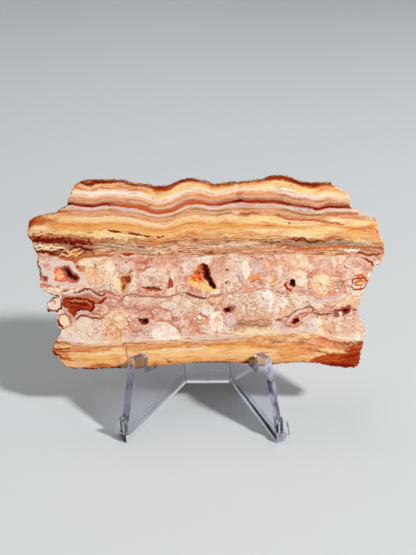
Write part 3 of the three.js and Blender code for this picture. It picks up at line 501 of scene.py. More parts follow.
    ("rust", 0.8, 0.7, [48.4,7.2, 53,7.4, 57.6,7.4]),
    ("rust", 0.8, 0.8, [59.2,8.8, 62.6,8.8]),
    ("salmon", 0.8, 0.4, [44.4,11.6, 50,11.5, 55.6,11.4]),
    ("rust", 0.85, 0.45, [52.4,11.4, 58,11.6, 63.6,11.4]),
    ("straw", 0.95, 0.6, [46.2,9.9, 50,10, 54,9.8, 59.4,9.8]),
    ("cream", 0.95, 0.16, [60.2,12, 62.4,12.1, 65,12.3]),
    ("garnet", 0.95, 0.5, [46.4,9.3, 47.5,9]),
    ("rust", 0.85, 0.28, [38.2,6.1, 39.8,6.5, 41.6,6.8]),
    ("copper", 0.8, 0.32, [31.8,6.9, 32.4,5.9]),
    ("oxblood", 0.85, 0.6, [45.4,4.3, 48,3.8, 50,3.2, 53.4,3]),
    ("oxblood", 0.85, 0.5, [56.6,4.6, 60.4,4.6]),
    ("oxblood", 0.8, 0.6, [62,5.4, 63.8,6.5]),
    ("copper", 0.7, 0.28, [47.2,4.9, 50.6,4.8]),
    ("copper", 0.7, 0.3, [52.2,4.2, 53.8,4.2]),
    ("bark", 0.9, 0.35, [39.8,3.3, 41.4,3.1]),
    ("cinnabar", 0.9, 1.5, [50,7.9, 57,8.3, 66,8.8]),
    ("brick", 0.85, 1, [56,10.7, 61,10.9, 67,11]),
    ("brick", 0.6, 0.7, [39,9.3, 46,9, 54,8.2]),
    ("garnet", 0.8, 0.5, [52,6.9, 58,6.6, 64,7.2]),
    ("rust", 0.7, 1.1, [-60,9.6, -56,8.2, -53,5.6]),
    ("bark", 0.9, 0.3, [24,2.3, 33,2.4, 40,2.5, 47,2.6]),
    ("soot", 0.9, 0.35, [45,2.6, 54,2.3, 61,2.5])]

# Patches: colour, strength, ring of points. A later patch lies over an earlier one.
patches = [
    ("dove", 0.8, [-64,44.5, -59,46.2, -55,46, -51,45.6, -48,42.2, -45.6,39, -46,36.4, -52,36,
        -58,36.2, -62,38, -64.4,41]),
    ("ivory", 0.5, [-64.6,35, -60,35.2, -55.6,36, -50,36, -44,36.6, -41,36, -43,34.8, -47,34.4,
        -50,33.4, -56,32.8, -61,32.6]),
    ("flame", 0.9, [-57.8,42.8, -56.2,43, -54.6,43.8, -53.4,44.4, -52,43.6, -50.4,41.4, -48.2,39.6,
        -48.4,37.8, -50.6,37, -53.4,37.6, -56,37.8, -58,38]),
    ("apricot", 0.85, [-57.2,41.8, -55.4,42, -54.8,39.6, -56.8,38.8]),
    ("cinnabar", 0.85, [-54.8,43.4, -53.2,44, -51.4,42.4, -49.2,39.8, -49,38.4, -51.2,37.5,
        -53.6,38.8, -54.8,40.4]),
    ("russet", 0.85, [-49.4,44.2, -47.4,43.8, -45.4,43.8, -45.8,42.2, -47.6,41.4, -48.8,42.6]),
    ("cinnabar", 0.8, [-49.1,43.9, -47.9,43.9, -47.9,42.6, -48.6,42.5]),
    ("salmon", 0.6, [-62.4,44.6, -60,44.6, -59.4,43, -61,42.4]),
    ("rust", 0.95, [-63.8,39.6, -61.2,39.7, -61.6,37.5, -62.4,37.2]),
    ("garnet", 0.9, [-62.9,39.4, -61.9,39.4, -62,37.9, -62.6,38]),
    ("cinnabar", 0.75, [-69.8,57, -67.4,58.6, -66.4,60.4, -64.4,61.8, -65.4,63.2, -67.2,64.2,
        -69.6,62]),
    ("bark", 0.8, [-67.4,49.8, -65,49.6, -64.2,47, -64.2,44.2, -63.6,41.4, -63.9,38.2, -65.8,38.4,
        -66.6,44]),
    ("cinnabar", 0.78, [43.6,4.6, 47.2,6.2, 51.4,6.8, 56.4,7, 59.2,8.6, 60.2,10.6, 63,11.5,
        66,11.8, 66,4, 63,0, 54,0, 47,1.4, 43.4,3]),
    ("lilac", 0.7, [-57.4,33, -50,32, -46,33, -43,32.6, -41,31, -38,31.4, -37,31, -38.6,29.6,
        -42,27, -43,24, -48,24.8, -50.4,23, -51.4,20.6, -54,24, -56.6,27, -56.8,31]),
    ("rust", 0.8, [-55.4,32.6, -54,31.8, -50,31.8, -46,32.8, -43,31.8, -40,30.4, -37.4,31.2,
        -38.2,29.6, -40.6,28.4, -43,28.8, -46,30.6, -54,30.8]),
    ("brick", 1, [-54.9,30.8, -46,30.5, -43.2,29, -42.6,26.8, -44,25.4, -47.5,26.2, -50,25.2,
        -51,22.8, -52,24.6, -53,26.8, -54.4,27.6]),
    ("ivory", 0.85, [-61.4,30.4, -58.4,31, -56.6,30.2, -56.4,28.2, -57.4,26.6, -60,26.2,
        -61.8,27.8]),
    ("cream", 0.85, [-57,22.6, -55.4,23.6, -53.8,22.6, -53.4,20.8, -54.8,19.8, -56.6,20.6]),
    ("ivory", 0.72, [-57,16.6, -52,20, -49,22.6, -45,22.4, -41.6,20, -39.6,17, -41,13, -48,12.6,
        -56,14.4]),
    ("peach", 0.6, [-38.6,18.6, -36,20, -33,18.4, -32,15, -33,12.6, -37,12.4, -39,15]),
    ("chalk", 0.7, [-19.6,14.6, -18.6,19.6, -16.4,20.8, -13,20, -10.4,18.6, -8,15.4, -11,14,
        -16,13.6]),
    ("russet", 0.45, [-26.5,46.8, -18,46.2, -17.6,43.2, -22,41.2, -25,41.2, -25.2,44]),
    ("cream", 0.8, [-34,38, -32,38.8, -31,36, -31,33.4, -33.4,33.6, -34.4,35.6]),
    ("dove", 0.7, [-31.4,43.6, -28,44, -27.6,41.6, -29,40.4, -31.4,41]),
    ("mustard", 0.85, [-32,39, -29.6,40.4, -26.8,40.2, -26.6,38, -28.6,35.6, -29.8,33, -31.4,33.2,
        -31.4,36.4]),
    ("cinnabar", 1, [-31.2,38.3, -29.6,39.4, -27.8,39, -28,37.4, -29.4,36, -30.4,33.8, -31,34.2,
        -30.6,36.6]),
    ("ivory", 0.3, [-23.8,40, -19,42.6, -13.4,41.4, -11.6,39, -13,35.6, -17,35.4, -23.4,36]),
    ("mauve", 0.4, [-20,38.6, -18,39, -17,37.8, -18,36.8, -19.6,37]),
    ("cinnabar", 0.9, [-23.4,35.3, -20.6,34.9, -17.2,34.9, -16,33.9, -14.8,33.5, -18,33.1,
        -21.4,33.8, -23.4,34.5]),
    ("cinnabar", 0.95, [-12.1,38.5, -10.9,37.4, -10.4,35.2, -12,34.2, -13,33.7, -12.4,36]),
    ("rose", 0.45, [-31.4,27.6, -26,27.6, -22,26.6, -18,27.2, -15.6,27, -12,25.6, -10.4,24.4,
        -13,22.4, -19,22.2, -24,23, -29,25]),
    ("dove", 0.7, [-16.6,23.6, -15,24.2, -14.2,22.8, -15.6,22.2]),
    ("ivory", 0.4, [-30,30.6, -24,31, -14,30.4, -8,30.6, -2,29.6, 3,28.6, 1,26.6, -4,22.8, -8,24,
        -12,27, -18,28, -26,28.2]),
    ("honey", 0.95, [0.2,44, 2.4,44.1, 4.4,42.6, 3.8,40, 6.8,35.2, 5.8,33, 3.8,32.6, 0.4,34.2,
        -2.8,35, -4.4,36.4, -3.6,39, -1.8,40.2, -1.4,42]),
    ("tangerine", 0.85, [-3.4,38.2, -2,41.2, 0.2,43.7, 2.2,43.9, 2,40.4, 2.2,37.4, 0.6,36.2,
        -2.2,36.8]),
    ("flame", 0.9, [-1.6,38.8, -0.8,41.4, 0.8,43.6, 2.4,43.7, 2.2,40.6, 2,38, 0.4,37.4]),
    ("garnet", 0.9, [0.4,42.6, 1.2,43.8, 2.8,43.8, 3.4,42.4, 4.6,39.4, 3.2,37.4, 1.6,39, 1.3,41]),
    ("chalk", 0.45, [-5.8,44.6, -3,45, -2.4,43, -4,40.4, -6,41.4]),
    ("apricot", 0.9, [19.6,38, 21.4,39.5, 23.2,39.9, 24.4,37.6, 22,36.5, 20.4,36.8]),
    ("chalk", 0.85, [17.2,44.4, 18.4,45, 19.6,43.2, 20,40.4, 19.4,38.2, 18,37.6, 17.2,40.4]),
    ("lilac", 0.35, [20.6,45, 25,44.6, 26,42, 24,40.6, 21,41.4]),
    ("chalk", 0.5, [24,32.6, 29,33, 33.6,30.4, 34.6,27.2, 31,24.6, 27.4,24.2, 26,27.4, 26.4,30.4]),
    ("ivory", 0.3, [14.6,31.4, 20,31.6, 26,31, 26,25.6, 20,22.8, 15.4,23]),
    ("dove", 0.55, [10,22.8, 13,23.8, 14.4,20.4, 11.6,18.2, 9.4,20]),
    ("chalk", 0.75, [4.2,23, 6.6,24, 9,22.6, 9.2,19.4, 7.4,17, 5,17.6, 3.6,20]),
    ("peach", 0.9, [5.4,21.8, 6.8,22.6, 8,21.6, 7.4,20.3, 5.8,20.4]),
    ("apricot", 0.85, [1,20.6, 2.2,21.4, 3.2,20.6, 2.6,19.5, 1.2,19.6]),
    ("apricot", 0.75, [-3,18.6, -1.6,18.7, -1.2,17.3, -2.6,17.2]),
    ("mauve", 0.6, [10.4,26.8, 13.4,27.2, 13.9,25.4, 12.8,24.6, 11,24.3]),
    ("umber", 0.9, [11,26.4, 12.9,26.5, 13.2,25.4, 12.6,24.8, 11.2,24.6]),
    ("garnet", 0.85, [52.7,24.9, 54.6,25.2, 56.6,26.1, 59.4,26.5, 59.6,25, 58.8,23.4, 57.6,22.8,
        55,22.2, 53,21.9]),
    # A painted glint: a small white spot inside the dark hollow.
    ("chalk", 0.95, [54.9,23.6, 55.6,23.7, 55.8,23, 55.1,22.9]),
    ("rose", 0.7, [34.2,20, 36,22, 39,23.6, 40,21.4, 39.2,19, 35.6,18.8]),
    ("mauve", 0.8, [36,19.8, 37.8,22, 39,21.6, 38.8,19.8]),
    ("cream", 0.5, [44.4,34.6, 45,37.6, 48,39, 50.6,37, 51,33.6, 49.4,31, 46.6,31]),
    ("rose", 0.7, [52.8,36.4, 56.6,36.4, 56.4,33.8, 55.2,30.9, 53.2,31.2]),
    ("umber", 0.5, [54,35.8, 55.8,35.8, 55.6,33.6, 54.8,32.4, 54.2,33.4]),
    ("chalk", 0.9, [59.8,35.6, 61.4,37, 64,36.8, 65.4,35.6, 64.4,33.8, 61.6,33.4, 60,34.2]),
    ("copper", 1, [60.7,35.2, 62,36.6, 64,36.5, 65,35.4, 63.4,34.1, 61.6,34.2]),
    ("cream", 0.3, [52,29.6, 58,31.6, 63.4,33, 63.6,28.6, 60,27.4, 55,27.2]),
    ("chalk", 0.7, [60.4,14.8, 62.6,15, 63.4,13.2, 62,12.4, 60.6,13]),
    ("rose", 0.35, [61.6,44.6, 65,44.8, 67.4,42.4, 66.6,39.4, 63,39.8])]

# Seams: colour, strength, half width, line of points.
seams = [
    # Threads of pale and dark stone in the crust.
    ("cream", 0.95, 0.24, [-67,52.4, -65,51.7, -63,52.1, -61,51.5, -59,51.8, -57,51.2, -55,51.4,
        -53.2,50.6]),
    ("cream", 0.85, 0.18, [-66,50.9, -63.4,50.7, -61.6,51, -59.6,50.4, -57.6,50.6, -55.4,50]),
    ("peach", 0.9, 0.22, [-64.6,49.3, -63,48.4, -61.4,48.9, -60.6,47.9]),
    ("honey", 0.95, 0.24, [-56.4,47.8, -54.4,48.6, -52.2,47.7, -50.4,48.3, -48.6,48.2, -47,49.2,
        -45.4,49.9]),
    ("peach", 0.9, 0.2, [-54,50.2, -52,49.4, -50.2,50, -48.4,50.3, -46.8,50.9]),
    ("garnet", 0.9, 0.34, [-66.2,50.1, -64,49.9, -61.8,50.2, -59.4,49.6, -57,49.7, -55,49]),
    ("oxblood", 0.9, 0.4, [-51.6,50.9, -49.4,51.4, -47.6,51.6, -45.6,50.6, -43,50.1, -41,50.3]),
    ("honey", 0.85, 0.3, [-65.6,57, -63.6,56.5, -61.8,57.2, -59.4,57.6, -57.4,57, -55.2,57.3,
        -52.6,56.8, -50,57.3]),
    ("straw", 0.9, 0.2, [-42,57.6, -39,57.3, -36.4,57.5, -33.6,56.6, -31,56.2, -28.4,55.6,
        -25,55.3, -21.8,54.9, -18.6,54.4]),
    ("straw", 0.75, 0.18, [-50,56.6, -46.4,56.8, -43.6,56.3, -40.6,56.7, -37.4,56.5]),
    ("oxblood", 0.85, 0.3, [-47.4,76.4, -46.2,77.2, -44.8,76.5, -43.4,75.9, -41.8,76.6, -40.4,77.5,
        -38.6,76.9, -36.6,77.2, -34.6,76.8]),
    ("apricot", 0.8, 0.16, [-45.2,77.5, -43.8,77, -42.4,76.9, -41.4,77.7]),
    # Painted highlight: a white line just inside the right-hand edge.
    ("chalk", 0.8, 0.3, [66.8,39.4, 65.8,37.4]),
    ("oxblood", 0.9, 0.5, [36.5,76.2, 39,75, 41.5,74.4, 44,74.1, 46,73.7, 48.4,74.4, 50.6,74.6,
        52.6,74.4]),
    ("rust", 0.8, 0.2, [38,74.6, 41,73.5, 43.6,73, 45.6,72.8, 47.6,73.4, 50,73.6, 53,73.2]),
    ("rust", 0.75, 0.55, [34.6,53.6, 37,53.2, 40,53.2, 42.8,52.2, 46.4,52.4, 49.6,52, 53,53.4]),
    ("bark", 0.9, 0.3, [35.4,53.6, 37,53, 38.6,52.6, 40,53.1, 41.6,53, 42.8,52, 44.6,51.7,
        46.4,52.4, 48.2,52.2, 49.4,51.6]),
    ("slate", 0.55, 0.5, [34,51.9, 38,51.2, 42,50.6, 46,50.6, 50,51, 56,51.4, 62,50.9, 66,50.4]),
    ("rust", 0.8, 0.35, [31,50, 34,50.6, 37,50.3, 40,49.6, 44,49.4, 48,49.4, 52,49.9, 56,50,
        60,49.6, 64,49.4, 68,49.2, 72,49]),
    ("garnet", 0.85, 0.3, [61,47.6, 63.4,47.2, 65.6,46.2, 67.4,46.6, 69.4,46.4, 71.4,47]),
    ("chalk", 0.8, 0.35, [57,48.4, 60,48.2, 63,48.4]),
    ("russet", 0.85, 0.35, [50.6,62.5, 54,62.3, 57.6,62.6, 61.6,62.4]),
    ("olive", 0.85, 0.2, [31.6,64.7, 34,64.2, 36.6,63.8, 39,62.8, 42,62.3, 45.6,62, 49,62.6]),
    ("rust", 0.8, 0.3, [16.8,63.7, 19,63.5, 22,63.6, 24.6,63.5]),
    ("rust", 0.85, 0.2, [29.6,62.8, 33,61.7, 36.4,60.9, 40,60.6, 44.6,60.5, 48.6,60, 52.4,59.2,
        57,58.4]),
    ("rust", 0.5, 0.3, [58,56, 62,56.8, 66,57.2, 69,56.4]),
    ("garnet", 0.85, 0.4, [-61.8,9.6, -60,8.6, -58,6.9, -55.6,5.6]),
    ("garnet", 0.8, 0.25, [-61.4,10.4, -58.6,9.8, -55.8,10, -53,9.5]),
    ("rust", 0.85, 0.25, [-60.6,12.6, -58.4,12.2, -56.6,12.8, -54.8,12.2, -52.6,12.4]),
    ("rust", 0.8, 0.5, [-45.6,2.6, -42,2.9, -38.6,3.1, -35.6,2.6]),
    ("oxblood", 0.9, 0.3, [-56,1.5, -50,1.4, -44,1.4, -38,1.7, -33,1.8]),
    ("russet", 0.7, 0.2, [-30.2,11, -30.3,8, -30.1,5, -30.2,2.4]),
    ("rust", 0.8, 0.15, [-31.6,12.2, -28.6,11.8, -25.4,12, -22,11.8]),
    ("russet", 0.7, 0.2, [-43.6,17.2, -42.6,18, -41.4,17.4, -42,16.4, -43.4,16.5]),
    ("copper", 0.6, 0.2, [-38.6,18.2, -36,19.6, -33.2,18.2, -32.4,15, -32.6,12.8]),
    ("russet", 0.7, 0.25, [-30.8,23.4, -29,20, -27.6,17.6, -26.2,16.4, -24.4,17.4, -22.6,17]),
    ("russet", 0.75, 0.25, [-18.6,20.6, -16,21.2, -12.6,20.4, -10,18.6, -8.4,16.4, -7.4,14.6]),
    ("dove", 0.9, 0.45, [59.4,32.2, 61.4,31.9, 63.6,32.2, 65.2,33]),
    ("cream", 0.5, 0.45, [15.3,75.6, 15.3,73.8, 15.6,72]),
    ("salmon", 0.5, 0.15, [16.9,75.8, 16.8,74, 17,72.6]),
    ("plum", 0.5, 0.12, [-20.3,66.4, -19.6,67.4, -18.9,68.2]),
    ("plum", 0.6, 0.15, [-19.4,65.9, -18.7,67.2, -17.7,68.3]),
    ("garnet", 1, 0.3, [63.8,45.8, 66.4,43.6, 69.2,41.6]),
    ("rust", 0.85, 0.42, [-55.6,47.6, -53.6,46.8, -51.6,46.5, -50,45.9, -48.6,46, -47.6,47,
        -45,47.5, -41,47.6, -37,47.9, -33,48.1]),
    ("cinnabar", 0.9, 0.4, [-31,48.2, -28.6,48, -26,47.9]),
    ("rust", 0.7, 0.5, [-24.6,42.4, -22.4,41.6, -20,42.8, -18.2,43.6]),
    ("rust", 0.6, 0.35, [-24.4,44.4, -21,45, -20,46.6]),
    ("peach", 0.7, 0.5, [-15.4,43.6, -13,42.6, -11,41.2, -10,40]),
    ("rose", 0.8, 0.45, [-34.6,38.6, -33.6,41, -32.2,43.2, -31,44.6]),
    ("umber", 0.7, 0.3, [-28,40.2, -26.8,42]),
    ("russet", 0.9, 0.3, [-64.8,36.6, -62,36, -59.4,35.2]),
    ("olive", 0.7, 0.4, [-58,35.4, -56.4,36]),
    ("umber", 0.9, 0.3, [-55.8,33.6, -54,33.9, -52.6,33.3]),
    ("lilac", 0.9, 0.35, [-58,38, -56,36.6, -52.6,36.2, -49.6,35.6, -46.6,36.2]),
    ("apricot", 0.8, 0.25, [-58.1,38, -58,40.4, -57.6,43, -55,43.6]),
    ("cinnabar", 0.85, 0.35, [-48.9,43.9, -48.3,42.9]),
    ("plum", 1, 0.26, [-50.2,32.8, -48.8,33, -47.4,33.8, -45.6,34.4, -43.6,34.3, -42.6,33.4,
        -41.6,32.2, -40,31.7, -38.6,32.2, -37.4,33, -36,32.2]),
    ("oxblood", 0.85, 0.22, [-53.8,29.3, -51.2,28.8, -48.6,29.1]),
    ("oxblood", 0.8, 0.2, [-53.2,27.6, -50.6,27.1, -47.6,27.3]),
    ("copper", 0.9, 0.22, [-53,29.9, -50,29.6, -46.6,29.6, -44.6,28.8, -43.8,27.6]),
    ("lilac", 0.9, 0.34, [-53.8,32.4, -50.6,32.3, -48,32.4, -46.2,33.2, -44,33.3, -42.6,32.2,
        -41,31.1, -39,31.2]),
    ("mauve", 0.85, 0.24, [-49.6,31.2, -47,31.5, -44.8,31]),
    ("garnet", 0.95, 0.42, [-42.2,28.7, -40.2,28.8, -38.4,29.8, -37.5,31.5]),
    ("lilac", 0.9, 0.36, [-50.8,22.8, -49,24.4, -46.4,25, -43.6,24.8]),
    ("soot", 0.95, 0.3, [-44.3,29.7, -43.9,29.4]),
    ("soot", 0.95, 0.3, [-44.5,25.5, -43.9,25.7]),
    ("plum", 0.9, 0.25, [-55.6,31.9, -55.4,29.6, -55,27.8, -53.6,26.6, -52.8,24.8]),
    ("oxblood", 0.95, 0.28, [-54.6,30.6, -51.6,30.4, -48,30.6, -45.8,30.4, -44.2,29.4, -42.9,29,
        -42.9,27.2, -44.2,25.6, -45.6,25.6]),
    ("cinnabar", 0.9, 0.22, [-54.5,30.6, -54.4,27.8, -52.9,26.9, -52.3,25.4, -51.2,24.2]),
    ("oxblood", 0.95, 0.3, [-51.2,24.4, -49.4,25.7, -47,26.1, -44.6,25.7]),
    ("oxblood", 0.85, 0.5, [-50.5,28.3, -48,28.5, -46,28.1, -44.6,27.2]),
    ("plum", 0.95, 0.26, [-51,20.8, -50.2,22.2, -48.6,23.2, -46.4,23.4, -44.6,22.9, -42,22.6,
        -40,22.2]),
    ("russet", 0.85, 0.35, [-45.4,24.6, -43,24.4, -40.6,23.6, -39.8,22.4, -38.8,23.8, -37,25]),
    ("peach", 0.8, 0.35, [-37,25, -33,25.2, -30,24.6, -27.4,23.4]),
    ("russet", 0.8, 0.3, [-53.2,25, -52.6,23, -52.2,20.4]),
    ("russet", 0.8, 0.4, [-61.8,30.1, -59.8,29.6, -57.8,28.9]),
    ("garnet", 0.9, 0.3, [-61.8,26.8, -60.4,25.9, -58.2,25.5, -56.6,26.4, -56,28.4, -56.3,30.4]),
    ("oxblood", 0.95, 0.5, [-62.4,26.4, -61.6,25.4, -60.2,24.9]),
    ("russet", 0.9, 0.35, [-57.4,21.6, -57.2,23.4, -55.6,24.3, -54,23.8, -52.9,22.4, -52.7,20.2]),
    ("garnet", 0.95, 0.4, [-58,22.4, -57.2,20.2, -56.2,18.8, -55,18.2]),
    ("rose", 0.7, 0.3, [-45,22.4, -42,21, -39.6,20.6]),
    ("olive", 0.6, 0.15, [-46.8,17, -45.4,15.2, -44.6,14.9]),
    ("mauve", 0.95, 0.28, [-31.6,27.5, -31.4,29.6, -30.2,31.2, -27.6,32.2, -24.4,31.4, -20.6,31,
        -16.4,30.9, -12.6,30.9, -9.6,31.6, -7,32.4]),
    ("mauve", 0.9, 0.5, [-41.6,32.6, -38.4,33.2, -35,32.4, -32,31.2]),
    ("russet", 0.7, 0.4, [-36.6,31, -33.6,30.2, -31.4,28.8]),
    ("plum", 0.9, 0.4, [-7,32.8, -4.4,31.9, -1.4,30.8, 1.4,30.1, 3.4,29.9]),
    ("mauve", 0.9, 0.45, [3.4,30.2, 5,31, 7.6,31.2, 9.6,32.4]),
    ("russet", 0.8, 0.35, [3.2,29.2, 4.2,27.8, 5.6,27]),
    ("mauve", 0.85, 0.22, [-31,26.6, -28.4,26.4, -26.2,26.8, -24.8,25.8, -22,25.5, -19.6,25.6,
        -17.8,26.3, -16.2,27, -15.2,25.8, -13,25.3, -10.4,25.4]),
    ("russet", 0.7, 0.45, [-19.6,24, -18.6,21.4]),
    ("russet", 0.7, 0.45, [-11.8,24.6, -11.2,22.4, -12,20.7, -14.6,20.6]),
    ("russet", 0.6, 0.3, [-11.4,20.4, -9.4,19, -8,17.4, -6.8,15.6]),
    ("salmon", 0.6, 0.4, [-26.6,20.4, -27.6,18, -26.6,17]),
    ("salmon", 0.9, 0.42, [-5,21.4, -2.6,23.2, -1.4,24.4]),
    ("russet", 0.9, 0.35, [-1,24.2, 0.4,23.6, 2,22.6, 3.2,22.6, 4,23.6]),
    ("chalk", 0.95, 0.6, [-1,22.3, 0.2,22]),
    ("chalk", 0.95, 0.5, [1,24.6, 2.2,24]),
    ("grey", 0.6, 0.2, [-1.8,23, -1.2,21.6, 0.4,21.2]),
    ("russet", 0.6, 0.3, [-3,16.8, 0,16.2, 3,15.4]),
    ("lilac", 0.9, 0.45, [15.4,43.4, 15.8,40.6, 16.8,37.8, 18.4,36, 19.8,35.4]),
    ("mauve", 0.5, 0.25, [14.6,40, 16,36.8, 17.6,34.8]),
    ("salmon", 0.8, 0.4, [17.2,34.3, 19.4,33.3, 21.4,33.1]),
    ("mauve", 0.6, 0.14, [16.8,32.2, 21,32.4, 24.4,33.8, 27.6,33.4, 30,32, 33,31.4]),
    ("cinnabar", 0.8, 0.2, [20.2,36.8, 21.6,36.7, 24,37.5]),
    ("salmon", 0.95, 0.4, [21.2,37.5, 22.6,38.2]),
    ("amber", 0.9, 0.38, [29.6,40, 30.2,38.2, 29.6,36.8, 28.4,35.9, 27.2,36]),
    ("salmon", 0.7, 0.5, [34.2,43.2, 33.4,41.4, 33.8,39.6]),
    ("peach", 0.9, 0.5, [25.4,45, 27,43.6, 27,41.2]),
    ("cinnabar", 0.95, 0.42, [35.4,36.4, 33.6,35.6, 34.2,34.2, 35.4,32.8, 36.6,33.8]),
    ("russet", 0.7, 0.35, [19.6,47.2, 21.6,46.2, 23.6,45.6, 25,46]),
    ("olive", 0.6, 0.3, [29.4,33.4, 31,32, 33,31.6]),
    ("chalk", 0.95, 0.42, [23.8,32.6, 26,31.8, 28.2,31.4, 27.4,30.2]),
    ("chalk", 0.95, 0.38, [28.8,28.8, 28,27.4, 28.6,26]),
    ("chalk", 0.95, 0.28, [31.2,30, 33,28.8, 34.2,28]),
    ("grey", 0.8, 0.12, [30.8,29.8, 32.4,28.7, 33.6,27.6]),
    ("chalk", 0.9, 0.6, [12,31, 12.6,30.6]),
    ("mauve", 0.6, 0.14, [18.8,27.8, 18.4,25.4, 18.8,23.4]),
    ("mauve", 0.5, 0.12, [16.6,27.5, 17.8,27.8, 17.8,26]),
    ("salmon", 0.95, 0.45, [31.2,26.8, 31.7,25, 31.2,23.4, 32,22.2]),
    ("chalk", 0.8, 0.22, [31.2,25.4, 31.2,24]),
    ("umber", 0.6, 0.22, [12.6,19.2, 14.8,19.6, 17.2,19.4, 19.4,19]),
    ("mauve", 0.6, 0.15, [14.8,19.6, 14.6,21.6]),
    ("olive", 0.7, 0.2, [19.4,19.2, 22.4,18.9, 25.4,18.5, 28,18.6]),
    ("russet", 0.6, 0.25, [20,20.4, 23,21, 26,21.2, 28.6,20.8]),
    ("salmon", 0.7, 0.15, [20.4,21.6, 23.6,22, 25.4,22.8, 26.8,22.2, 29,22.4]),
    ("oxblood", 0.8, 0.28, [29.8,20.8, 31.6,21.2, 32.6,21.5]),
    ("plum", 0.75, 0.2, [32.4,21.8, 34.6,22.2, 36.4,23.4, 38.4,25, 40.6,25.4, 42.6,25.9, 43.8,26.1,
        44.3,25.4, 44.9,24, 46.6,23.4, 48.6,22.9, 50.2,22.6]),
    ("mauve", 0.8, 0.14, [34.8,21.6, 33.8,20.4, 34,18.6, 35.4,18.2, 37.6,18.1, 39.6,18.8,
        40.2,20.2, 40.4,21.8, 41.6,22.6, 43.6,23.8]),
    ("dove", 0.9, 0.25, [34.8,20, 36,22.1, 38.4,23.8, 41,24.7, 43.4,25]),
    ("russet", 0.85, 0.3, [37.6,22.2, 39.4,23.2, 41,23.7, 43.2,24.2]),
    ("plum", 0.6, 0.18, [46.4,23.2, 46.2,21.4]),
    ("plum", 0.8, 0.3, [44.6,23.4, 48,22.9, 50.6,23.2, 52.8,23.6]),
    ("plum", 0.8, 0.3, [59.4,25.2, 60.8,24.6, 62.6,24.6]),
    ("russet", 0.8, 0.22, [62.9,27.2, 62.4,25.2]),
    ("salmon", 0.85, 0.26, [44.6,33, 45.2,32, 46.6,30.6, 48.6,30.2, 50.6,31.2, 52.4,31.8]),
    ("lilac", 0.7, 0.3, [44.6,29.4, 48,29, 52,29.8, 55,30]),
    ("salmon", 0.75, 0.22, [52.4,36.6, 52.6,33, 53,30.8, 55,30.6, 56.6,33.4, 57,36.4]),
    ("umber", 0.6, 0.18, [53.4,36.1, 56.1,36, 55.9,33.9]),
    ("chalk", 0.9, 0.42, [54.2,32.9, 54,32.1]),
    ("honey", 0.95, 0.4, [61.8,35, 63,35.6, 64.4,35.6]),
    ("cinnabar", 1, 0.26, [59.4,34.6, 60.2,36.5, 62.6,37.5, 64.8,36.8, 66,35.8, 65.2,34.2, 63.4,33,
        61,33, 59.8,34]),
    ("flame", 0.9, 0.36, [60.6,37.9, 62.8,38.6, 64.6,37.9, 66.4,37]),
    ("russet", 0.7, 0.5, [46.2,41, 46.8,40.6]),
    ("salmon", 0.7, 0.6, [43.2,43.8, 44.2,43.4]),
    ("salmon", 0.6, 0.5, [51.6,41.4, 52.4,41.4]),
    ("salmon", 0.6, 0.4, [48.6,42, 49,41.6]),
    ("umber", 0.85, 0.18, [56.4,42.6, 57.2,41.6, 58.2,41.5]),
    ("grey", 0.8, 0.4, [41.1,41.4, 41.5,41]),
    ("mauve", 0.8, 0.3, [50.4,16.4, 52.2,15.6]),
    ("peach", 0.8, 0.6, [62.2,17.8, 63,17]),
    ("peach", 0.9, 0.4, [59,19, 61.2,19.2]),
    ("amber", 0.5, 0.22, [44.4,19.4, 44.4,17.6]),
    ("rust", 0.8, 0.26, [46.6,5.2, 49.4,5.7, 52.4,5.6, 55.8,6.3]),
    ("flame", 0.6, 0.16, [48.2,4.2, 51.6,4.4, 54.8,4.2, 57.4,5]),
    ("oxblood", 0.85, 0.35, [50.2,3, 54,2.7, 58,2.3, 61.6,2]),
    ("oxblood", 0.7, 0.25, [56.4,5.6, 59.2,6, 62.2,7.2, 63.6,8.6]),
    ("rust", 0.7, 0.3, [60.4,9.2, 62.2,9.8, 64.2,10]),
    ("salmon", 0.8, 0.35, [6.8,34.2, 8.4,34.1, 9.6,35.2, 10.4,36.1]),
    ("russet", 0.7, 0.16, [10.2,36.6, 11.2,36.9, 12.2,36.4, 11.4,35.8, 10.4,36]),
    ("ivory", 0.85, 0.4, [-26.9,45.5, -26.6,45.5]),
    ("ivory", 0.8, 0.35, [-22.6,45.6, -22.3,45.7]),
    ("ivory", 0.8, 0.3, [-24.2,43.4, -23.9,43.4]),
    ("russet", 0.8, 0.25, [-25.6,44.2, -23.6,44.9, -21.4,44.2, -19.4,44.6]),
    ("cinnabar", 0.8, 0.22, [-42.2,44.6, -41.2,43.8, -41.6,43]),
    ("honey", 0.8, 0.18, [-44.6,42, -43,42.2, -42.4,41, -43.4,39.8, -44.8,40.4, -44.8,41.6]),
    ("salmon", 0.7, 0.3, [-40.6,39.2, -39.2,38.8, -38.6,37.6, -39.8,36.8]),
    ("lilac", 0.8, 0.3, [41.6,33.4, 42.2,30.8, 44.8,28.6, 48.4,28, 52,28.6, 55.6,28.8, 58.4,31,
        59,33.4]),
    ("russet", 0.6, 0.14, [43.2,36.6, 42.8,33.6, 43.8,31.2, 46,29.6, 48.8,29.2, 51.6,30]),
    ("salmon", 0.35, 0.3, [43.6,37.6, 45,39.8, 47.8,40.6, 50.4,39.2])]

